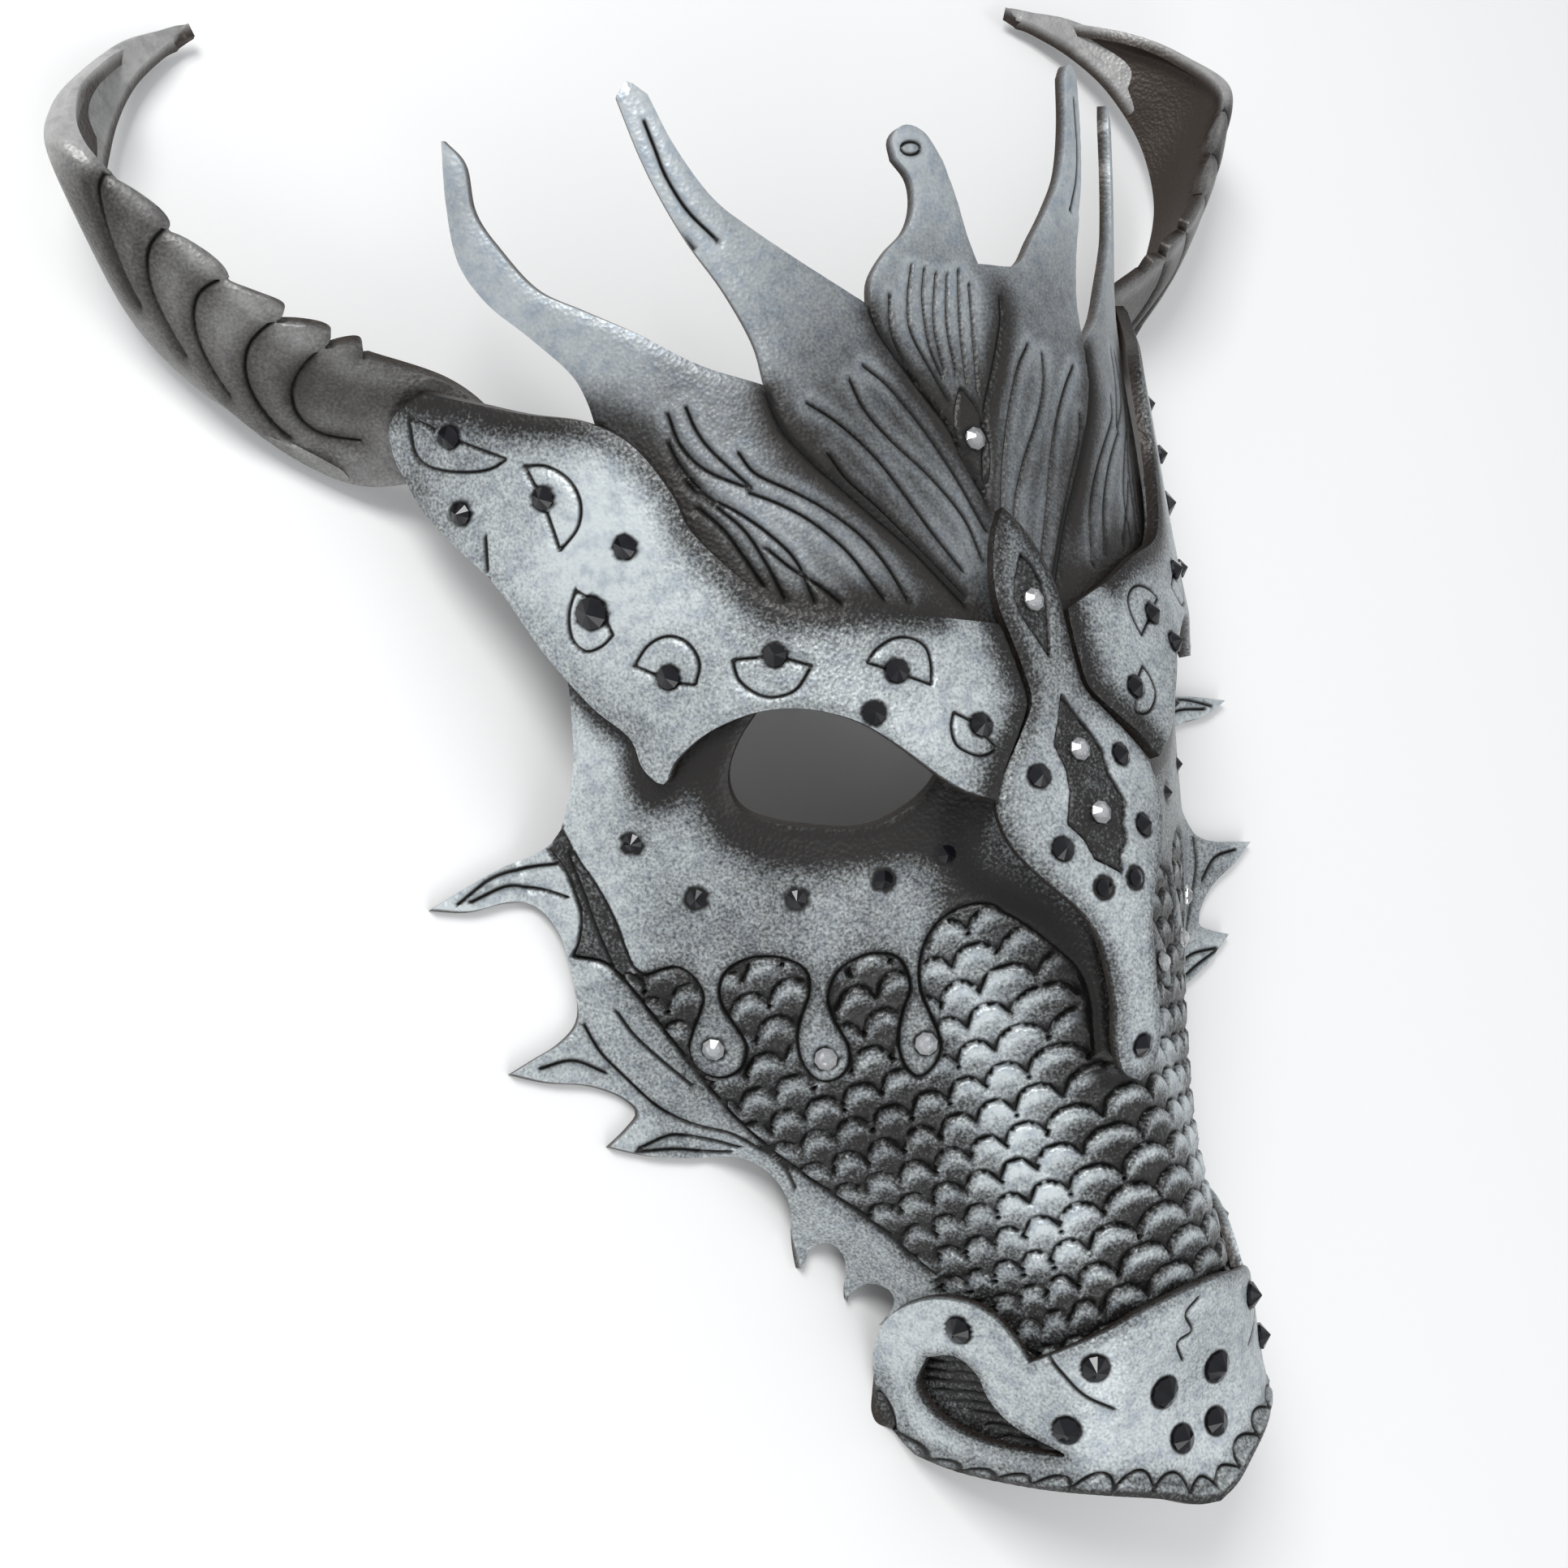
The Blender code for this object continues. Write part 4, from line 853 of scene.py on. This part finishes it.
HORN_TUCK = 1.0         # how far the root is tucked in under the brow plate
HORN_LEAST = 2.5        # least width
LEAVES = 5
LEAF_FROM, LEAF_TO = 2.0, 5.6       # stations between which the upper edge has leaves
LEAF_NOTCH, LEAF_BULGE = 0.93, 0.11 # shares of the horn's width
# The line from a notch: distance towards the root, share of the horn's width
LEAF_LINE = [(0, 0.93), (4, 0.74), (10, 0.56), (19, 0.40)]
POINT_LENGTH, POINT_LEAST = 7.0, 0.2    # length of the horn's point, share of the width at its end
LINE_STEPS = 16


def horn_lines():
    lines = []
    for root, root_out, line in zip(HORN_ROOT, HORN_ROOT_OUT, (HORN_LOWER, HORN_MIDDLE, HORN_UPPER)):
        x, y = np.array([root, root_out], float).T
        tucked = brow_points(x, y) - surface_normals(brow_points, x, y) * (LAYER + HORN_TUCK)
        lines.append(spline(np.vstack([tucked, np.array(line, float)]), LINE_STEPS))
    return lines


HORN = horn_lines()
HORN_LENGTHS = np.concatenate([[0], np.cumsum(np.linalg.norm(np.diff(HORN[1], axis=0), axis=1))])
HORN_STATIONS = np.arange(len(HORN[1])) / LINE_STEPS


def horn_width(low, mid, up):
    return np.maximum(np.linalg.norm(mid - low, axis=-1) + np.linalg.norm(up - mid, axis=-1), HORN_LEAST)


def horn_points(a, b):
    fine = np.interp(a, HORN_LENGTHS, HORN_STATIONS) * LINE_STEPS
    places = np.arange(len(HORN_LENGTHS))
    low, mid, up = [np.stack([np.interp(fine, places, line[:, c]) for c in range(3)], -1)
                    for line in HORN]
    v = (b / horn_width(low, mid, up))[..., None]
    return low * (1 - v) * (1 - 2 * v) + mid * 4 * v * (1 - v) + up * v * (2 * v - 1)


def leaf_edge(station):
    if not LEAF_FROM < station < LEAF_TO:
        return 1.0
    turn = (station - LEAF_FROM) / (LEAF_TO - LEAF_FROM) * LEAVES % 1.0
    return LEAF_NOTCH + LEAF_BULGE * math.sqrt(math.sin(math.pi * turn))


def horn_outline(step):
    widths = horn_width(*HORN)
    point = np.sqrt(np.clip((HORN_LENGTHS[-1] - HORN_LENGTHS) / POINT_LENGTH, POINT_LEAST ** 2, 1))
    edge = np.array([leaf_edge(s) for s in HORN_STATIONS]) * widths * (0.5 + 0.5 * point)
    foot = 0.5 * widths * (1 - point)
    lower = spaced(np.stack([HORN_LENGTHS, foot], -1), step)
    tip = spaced(np.array([[HORN_LENGTHS[-1], foot[-1]], [HORN_LENGTHS[-1], edge[-1]]]), step)
    upper = spaced(np.stack([HORN_LENGTHS, edge], -1)[::-1], step)
    root = spaced(np.array([[0.0, edge[0]], [0.0, 0.0]]), step)
    return np.vstack([lower[:-1], tip[:-1], upper[:-1], root[:-1]])


def horn_carving():
    """A line from each notch towards the horn's root."""
    lines = []
    for k in range(1, LEAVES + 1):
        station = LEAF_FROM + (LEAF_TO - LEAF_FROM) * k / LEAVES
        place = float(np.interp(station, HORN_STATIONS, HORN_LENGTHS))
        wide = float(np.interp(place, HORN_LENGTHS, horn_width(*HORN)))
        lines.append(spline([(place - back, share * wide) for back, share in LEAF_LINE], CURVE_STEPS))
    return lines


def horn_look(flat):
    gap = gap_to(flat, horn_carving(), horn_points)
    widths = np.interp(flat[:, 0], HORN_LENGTHS, horn_width(*HORN))
    across = flat[:, 1] / widths
    station = np.interp(flat[:, 0], HORN_LENGTHS, HORN_STATIONS)
    rise = -LINE_DEPTH * (halo(gap, LINE_WIDTH) + 0.6 * halo(gap, 1.3))
    silver = shaded(0.34, (across, -0.10, 0.12), (across - 0.95, -0.20, 0.06), (gap, 0.20, 2.4))
    silver = silver - 0.14 * ease(3.6, 2.2, station) * ease(0.5, 0.8, across)
    silver = silver + 0.45 * ease(5.4, 6.4, station)
    return rise, silver, np.maximum(halo(gap, LINE_INK), 0.4 * halo(gap, 0.9))


# Paints and other finishes

def new_material(name):
    material = bpy.data.materials.new(name)
    material.use_nodes = True
    return material, material.node_tree, material.node_tree.nodes["Principled BSDF"]


def noise(tree, place, scale, detail, name):
    node = tree.nodes.new("ShaderNodeTexNoise")
    node.label = name
    node.inputs["Scale"].default_value = scale
    node.inputs["Detail"].default_value = detail
    tree.links.new(place, node.inputs["Vector"])
    return node.outputs["Fac"]


def sums(tree, operation, first, second):
    node = tree.nodes.new("ShaderNodeMath")
    node.operation = operation
    for socket, value in zip(node.inputs, (first, second)):
        if isinstance(value, (int, float)):
            socket.default_value = value
        else:
            tree.links.new(value, socket)
    return node.outputs[0]


def blended(tree, share, first, second):
    node = tree.nodes.new("ShaderNodeMix")
    node.data_type = "RGBA"
    tree.links.new(share, node.inputs["Factor"])
    for socket, value in ((node.inputs["A"], first), (node.inputs["B"], second)):
        if isinstance(value, tuple):
            socket.default_value = (*value, 1.0)
        else:
            tree.links.new(value, socket)
    return node.outputs["Result"]


def ramp(tree, value, low, high):
    node = tree.nodes.new("ShaderNodeMapRange")
    node.interpolation_type = "SMOOTHSTEP"
    node.inputs["From Min"].default_value = low
    node.inputs["From Max"].default_value = high
    tree.links.new(value, node.inputs["Value"])
    return node.outputs["Result"]


CLOUDS, CLOUDS_MIDDLE, CLOUDS_SHARE = 55.0, 0.52, 0.55  # broad unevenness of the paint
FLECKS, PATCHES, CREASES, GRAIN = 1900.0, 420.0, 420.0, 1300.0      # finer patterns
FULL_SILVER = 0.95
PATCH_EDGES = 0.42, 0.70
INK_AND_SHADE_EDGES = 0.08, 0.85
INK_AND_SHADE_BLACK, BARE_LEATHER = (0.006, 0.0055, 0.005), (0.035, 0.024, 0.018)
SMOOTHEST, ROUGHER = 0.32, 0.2
HIDE_STRENGTH, HIDE_DEPTH, CREASE_SHARE = 0.45, 0.00018, 1.4
METAL_SHARE = 0.3


def painted_leather(name, bright, cool, ground, speckle):
    """Silver paint sponged and airbrushed over dark leather, with the painted highlights and shade that
    the silver and black attributes carry.
    """
    material, tree, shader = new_material(name)
    place = tree.nodes.new("ShaderNodeTexCoord").outputs["Object"]
    silver, black, inner = [tree.nodes.new("ShaderNodeAttribute") for _ in range(3)]
    silver.attribute_name, black.attribute_name, inner.attribute_name = "silver", "black", "inner"
    clouds = noise(tree, place, CLOUDS, 3.0, "clouds in the paint")
    flecks = noise(tree, place, FLECKS, 3.0, "flecks")
    tint = noise(tree, place, PATCHES, 4.0, "cool patches")
    level = sums(tree, "ADD", silver.outputs["Fac"],
                 sums(tree, "MULTIPLY", sums(tree, "SUBTRACT", clouds, CLOUDS_MIDDLE), CLOUDS_SHARE))
    level = sums(tree, "ADD", level,
                 sums(tree, "MULTIPLY", sums(tree, "SUBTRACT", flecks, 0.5), speckle))
    paint = blended(tree, ramp(tree, tint, *PATCH_EDGES), bright, cool)
    colour = blended(tree, ramp(tree, level, 0.0, FULL_SILVER), ground, paint)
    # Black of carved lines and crystal seats, and painted shade in black beside the nose plate and along
    # the mane's lock edges
    colour = blended(tree, ramp(tree, black.outputs["Fac"], *INK_AND_SHADE_EDGES), colour, INK_AND_SHADE_BLACK)
    colour = blended(tree, inner.outputs["Fac"], colour, BARE_LEATHER)
    tree.links.new(colour, shader.inputs["Base Color"])
    rough = sums(tree, "ADD", sums(tree, "MULTIPLY", clouds, ROUGHER), SMOOTHEST)
    tree.links.new(rough, shader.inputs["Roughness"])
    shader.inputs["Metallic"].default_value = METAL_SHARE
    grain = tree.nodes.new("ShaderNodeTexVoronoi")
    grain.inputs["Scale"].default_value = GRAIN
    tree.links.new(place, grain.inputs["Vector"])
    hide = sums(tree, "ADD", grain.outputs["Distance"],
                sums(tree, "MULTIPLY", noise(tree, place, CREASES, 5.0, "creases"), CREASE_SHARE))
    bump = tree.nodes.new("ShaderNodeBump")
    bump.inputs["Strength"].default_value = HIDE_STRENGTH
    bump.inputs["Distance"].default_value = HIDE_DEPTH
    tree.links.new(hide, bump.inputs["Height"])
    tree.links.new(bump.outputs["Normal"], shader.inputs["Normal"])
    return material


def stone_material(name, low, high, roughness, transmission, bend):
    material, tree, shader = new_material(name)
    place = tree.nodes.new("ShaderNodeTexCoord").outputs["Object"]
    depth = noise(tree, place, 500.0, 1.0, "depth in the stone")
    tree.links.new(blended(tree, depth, low, high), shader.inputs["Base Color"])
    shader.inputs["Roughness"].default_value = roughness
    shader.inputs["IOR"].default_value = bend
    shader.inputs["Transmission Weight"].default_value = transmission
    return material


# Crystals, set with Geometry Nodes

SMALL_CRYSTAL, SMALL_HEIGHT = 1.9, 1.7
MUZZLE_CRYSTAL, MUZZLE_HEIGHT = 2.3, 2.1
BIG_CRYSTAL, BIG_HEIGHT = 2.7, 2.4
CLEAR_CRYSTAL, CLEAR_HEIGHT = 2.0, 1.2
TINY_CRYSTAL, TINY_HEIGHT = 1.5, 1.3
GIRDLE = 0.25           # share of a crystal's height that is its straight girdle
FOIL = 0.2              # thickness of the bright foil behind a clear crystal
FOIL_SHARE = 0.92       # its radius over the crystal's
CLEAR_TABLE = 0.36      # radius of a clear crystal's flat top over its own
BROW_CRYSTALS = [(76, 104), (67, 89), (57, 55), (44, 53), (28, 45), (17, 33), (76, 92), (59, 77),
                 (33, 39.5)]
BROW_BIG_CRYSTAL = (64, 69)
CHEEK_CRYSTALS = [(62, 32), (55, 20), (42, 15), (29, 14), (18.5, 15)]
DRIP_CRYSTALS = [(55, -5), (41, -12), (27, -14.5)]
NOSE_PAIRS = [(9, 22.5), (9, 10)]
NOSE_RINGED = [(3.5, 2)]
NOSE_LAST = (0, -25)
MANE_CRYSTAL = (0.5, 80)
NOSE_CLEAR_CRYSTALS = [51, 25, 14]
MUZZLE_BIG_CRYSTAL = (6, -81)
MUZZLE_CRYSTALS = [(16, -73), (20, -82.4), (4, -91)]
LOBE_CRYSTAL = (27.4, -62.6)


def seats(places, points_at, radius, height, both=True, lift=0.0):
    """Foot, direction, radius and height of crystals on a surface."""
    out = []
    for x, y in places:
        for turn in ((1, -1) if both else (1,)):
            px, py = np.array([float(x) * turn]), np.array([float(y)])
            foot = points_at(px, py)[0]
            axis = surface_normals(points_at, px, py)[0]
            foot = in_frame(foot + axis * lift)
            out.append((foot, axis, radius * MILLIMETRE, height * MILLIMETRE))
    return out


def stone_tree(name, sides, table, material):
    """A tree that stands a cut stone on every point, sized and turned by the point's attributes."""
    tree = bpy.data.node_groups.new(name, "GeometryNodeTree")
    face = tree.interface
    face.new_socket("Geometry", in_out="INPUT", socket_type="NodeSocketGeometry")
    sides_socket = face.new_socket("Sides", in_out="INPUT", socket_type="NodeSocketInt")
    table_socket = face.new_socket("Table radius", in_out="INPUT", socket_type="NodeSocketFloat")
    face.new_socket("Geometry", in_out="OUTPUT", socket_type="NodeSocketGeometry")
    given, made, cone, girdle, lift, raised, joined = [tree.nodes.new(kind) for kind in (
        "NodeGroupInput", "NodeGroupOutput", "GeometryNodeMeshCone", "GeometryNodeMeshCylinder",
        "GeometryNodeTransform", "GeometryNodeTransform", "GeometryNodeJoinGeometry")]
    spots, placed, turn, direction, size, solid, dress = [tree.nodes.new(kind) for kind in (
        "GeometryNodeMeshToPoints", "GeometryNodeInstanceOnPoints", "FunctionNodeAlignRotationToVector",
        "GeometryNodeInputNamedAttribute", "GeometryNodeInputNamedAttribute",
        "GeometryNodeRealizeInstances", "GeometryNodeSetMaterial")]
    for node, socket, value in (
            (cone, "Radius Bottom", 1.0), (cone, "Depth", 1 - GIRDLE),
            (lift, "Translation", (0, 0, GIRDLE)), (girdle, "Radius", 1.0), (girdle, "Depth", GIRDLE),
            (raised, "Translation", (0, 0, GIRDLE / 2)), (direction, "Name", "direction"),
            (size, "Name", "size"), (dress, "Material", material)):
        node.inputs[socket].default_value = value
    direction.data_type = size.data_type = "FLOAT_VECTOR"
    for source, out, target, into in (
            (given, "Sides", cone, "Vertices"), (given, "Sides", girdle, "Vertices"),
            (given, "Table radius", cone, "Radius Top"), (cone, "Mesh", lift, "Geometry"),
            (girdle, "Mesh", raised, "Geometry"), (lift, "Geometry", joined, "Geometry"),
            (raised, "Geometry", joined, "Geometry"), (given, "Geometry", spots, "Mesh"),
            (spots, "Points", placed, "Points"), (joined, "Geometry", placed, "Instance"),
            (direction, "Attribute", turn, "Vector"), (turn, "Rotation", placed, "Rotation"),
            (size, "Attribute", placed, "Scale"), (placed, "Instances", solid, "Geometry"),
            (solid, "Geometry", dress, "Geometry"), (dress, "Geometry", made, "Geometry")):
        tree.links.new(source.outputs[out], target.inputs[into])
    return tree, {sides_socket.identifier: sides, table_socket.identifier: table}


def stones(name, seated, sides, table, material, nodes_replaced):
    mesh = bpy.data.meshes.new(name + "_seats")
    mesh.from_pydata([tuple(foot) for foot, *_ in seated], [], [])
    for word, values in (("direction", [axis for _, axis, _, _ in seated]),
                         ("size", [(r, r, h) for _, _, r, h in seated])):
        flat = np.array(values, np.float32).ravel()
        mesh.attributes.new(word, "FLOAT_VECTOR", "POINT").data.foreach_set("vector", flat)
    carrier = shown(name + "_seats", mesh)
    tree, inputs = stone_tree(name, sides, table, material)
    modifier = carrier.modifiers.new("stones", "NODES")
    modifier.node_group = tree
    for identifier, value in inputs.items():
        modifier[identifier] = value
    evaluated = carrier.evaluated_get(bpy.context.evaluated_depsgraph_get())
    made = bpy.data.meshes.new_from_object(evaluated)
    bpy.data.objects.remove(carrier, do_unlink=True)
    made.materials.clear()
    made.materials.append(material)
    made.shade_flat()
    piece = shown(name, made)
    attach(piece, "root")
    if nodes_replaced:
        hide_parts(*nodes_replaced)
    return piece


def clear_seats(radius, height, lift):
    found = seats(DRIP_CRYSTALS, face_points, radius, height, True, CHEEK_RAISE + lift)
    found += seats([(0, y) for y in NOSE_CLEAR_CRYSTALS], nose_points, radius, height, False, lift)
    return found + seats([MANE_CRYSTAL], lining_points, radius, height, False, lift)


def set_crystals():
    black, clear, foil = [stone_material(*finish) for finish in (
        ("black crystal", (0.002, 0.002, 0.003), (0.012, 0.012, 0.016), 0.07, 0.0, 1.42),
        ("clear crystal", (0.94, 0.96, 0.98), (1.0, 1.0, 1.0), 0.02, 0.85, 1.8),
        ("foil", (0.80, 0.82, 0.84), (0.95, 0.96, 0.97), 0.18, 0.0, 1.5))]
    foil.node_tree.nodes["Principled BSDF"].inputs["Metallic"].default_value = 1.0
    dark = []
    for places, points_at, radius, height, both in (
            (BROW_CRYSTALS, brow_points, SMALL_CRYSTAL, SMALL_HEIGHT, True),
            ([BROW_BIG_CRYSTAL], brow_points, BIG_CRYSTAL, BIG_HEIGHT, True),
            (CHEEK_CRYSTALS, face_points, SMALL_CRYSTAL, SMALL_HEIGHT, True),
            (NOSE_PAIRS, nose_points, SMALL_CRYSTAL, SMALL_HEIGHT, True),
            (NOSE_RINGED, nose_points, TINY_CRYSTAL, TINY_HEIGHT, True),
            ([NOSE_LAST], nose_points, SMALL_CRYSTAL, SMALL_HEIGHT, False),
            ([MUZZLE_BIG_CRYSTAL], muzzle_points, BIG_CRYSTAL, BIG_HEIGHT, True),
            (MUZZLE_CRYSTALS + [LOBE_CRYSTAL], muzzle_points, MUZZLE_CRYSTAL, MUZZLE_HEIGHT, True)):
        dark += seats(places, points_at, radius, height, both)
    bright = clear_seats(CLEAR_CRYSTAL, CLEAR_HEIGHT, FOIL)
    foils = clear_seats(FOIL_SHARE * CLEAR_CRYSTAL, FOIL, 0.0)
    names = [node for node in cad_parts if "crystal" in node]
    clear_names = [n for n in names if n.startswith("drip") or "clear" in n or n == "mane_crystal"]
    black_names = [n for n in names if n not in clear_names]
    stones("black_crystals", dark, 10, 0.0, black, black_names)
    stones("clear_crystals", bright, 8, CLEAR_TABLE, clear, clear_names)
    stones("crystal_foils", foils, 12, 1.0, foil, [])


# Floor, light and camera

FLOOR_REACH = 3.0
LAMPS = [("key", (-0.45, 0.45, 0.75), 6.0, 0.35), ("fill", (0.5, -0.5, 0.8), 1.6, 0.8),
         ("snout", (-0.25, -0.7, 0.45), 1.5, 0.4)]      # name, place, power, size


def studio():
    mesh = bpy.data.meshes.new("floor")
    corners = [(x * FLOOR_REACH, y * FLOOR_REACH, 0) for x, y in ((-1, -1), (1, -1), (1, 1), (-1, 1))]
    mesh.from_pydata(corners, [], [(0, 1, 2, 3)])
    floor = shown("floor", mesh)
    material, _tree, shader = new_material("pale floor")
    shader.inputs["Base Color"].default_value = (0.9, 0.9, 0.895, 1)
    shader.inputs["Roughness"].default_value = 0.8
    floor.data.materials.append(material)
    world = bpy.data.worlds.new("studio")
    world.use_nodes = True
    sky = world.node_tree.nodes["Background"]
    sky.inputs["Color"].default_value = (0.95, 0.97, 1.0, 1)
    sky.inputs["Strength"].default_value = 0.52
    bpy.context.scene.world = world
    for name, place, power, size in LAMPS:
        light = bpy.data.lights.new(name, "AREA")
        light.energy = power
        light.size = size
        lamp = shown(name, light)
        lamp.location = place
        lamp.rotation_mode = "QUATERNION"
        lamp.rotation_quaternion = Vector(place).to_track_quat("Z", "Y")


def photo_camera():
    lens = bpy.data.cameras.new("camera")
    lens.sensor_width = SENSOR
    lens.lens = SENSOR * FOCAL / PICTURE
    lens.clip_start = 0.01
    camera = shown("camera", lens)
    turned = Matrix(np.stack([EYE_RIGHT, EYE_UP, EYE_BACK], -1).tolist()).to_4x4()
    camera.matrix_world = Matrix.Translation(in_frame(EYE)) @ turned
    bpy.context.scene.camera = camera


def both_halves(lines):
    return list(lines) + [np.asarray(line) * (-1, 1) for line in lines]


def whole_pattern(side, step, hole=None):
    """The outline of a pattern from its right half, and a pair of holes."""
    loops = [outline(side + mirrored(side), step)]
    return loops + [outline(hole, step), outline(mirrored(hole), step)] if hole else loops


def leather_pieces():
    silvered = painted_leather("silvered leather", (0.60, 0.65, 0.66), (0.44, 0.49, 0.53),
                               (0.018, 0.016, 0.015), 1.0)
    darkened = painted_leather("darkened leather", (0.46, 0.50, 0.52), (0.36, 0.41, 0.46),
                               (0.024, 0.021, 0.019), 0.45)
    horned = painted_leather("horn leather", (0.42, 0.42, 0.41), (0.34, 0.33, 0.33),
                             (0.030, 0.026, 0.023), 0.4)
    face = whole_pattern(FACE_SIDE, FINE, [EYE_LOW, EYE_TOP])
    drip, jaw, jaw_low, band, face_lines, ribs = face_carving()
    leather("carved_face", face, face_points, face_look, silvered, "face_shell", FINE,
            lines=both_halves([drip, jaw, jaw_low, band] + face_lines + ribs), region=snout_region)
    locks, steps, middle_lines, inset = mane_carving()
    leather("carved_mane", [outline(mane_strokes(), FINE)], lining_points, mane_look, darkened,
            "mane", FINE, lines=both_halves(locks + steps) + middle_lines + [inset])
    for side, mirror in (("right", False), ("left", True)):
        leather(f"carved_brow_{side}", [outline(brow_strokes(), FINER)], brow_points, brow_look,
                silvered, f"brow_plate_{side}", FINER, mirror, brow_carving())
        leather(f"carved_horn_{side}", [horn_outline(FINE)], horn_points, horn_look, horned,
                f"horn_{side}", FINE, mirror, horn_carving())
    leather("carved_nose", whole_pattern([NOSE_SIDE], FINER), nose_points, nose_look, silvered,
            "nose_plate", FINER, lines=nose_carving())
    plate = whole_pattern([MUZZLE_TOP, MUZZLE_LOBE, MUZZLE_FRONT], MUZZLE_FINE, [NOSTRIL])
    line, vein, _rim, scallops = muzzle_carving()
    leather("carved_muzzle", plate, muzzle_points, muzzle_look, silvered,
            "muzzle_plate", MUZZLE_FINE, lines=both_halves([line, scallops]) + [vein])


photo_camera()
leather_pieces()
set_crystals()
studio()
bpy.context.scene.view_settings.view_transform = "Standard"
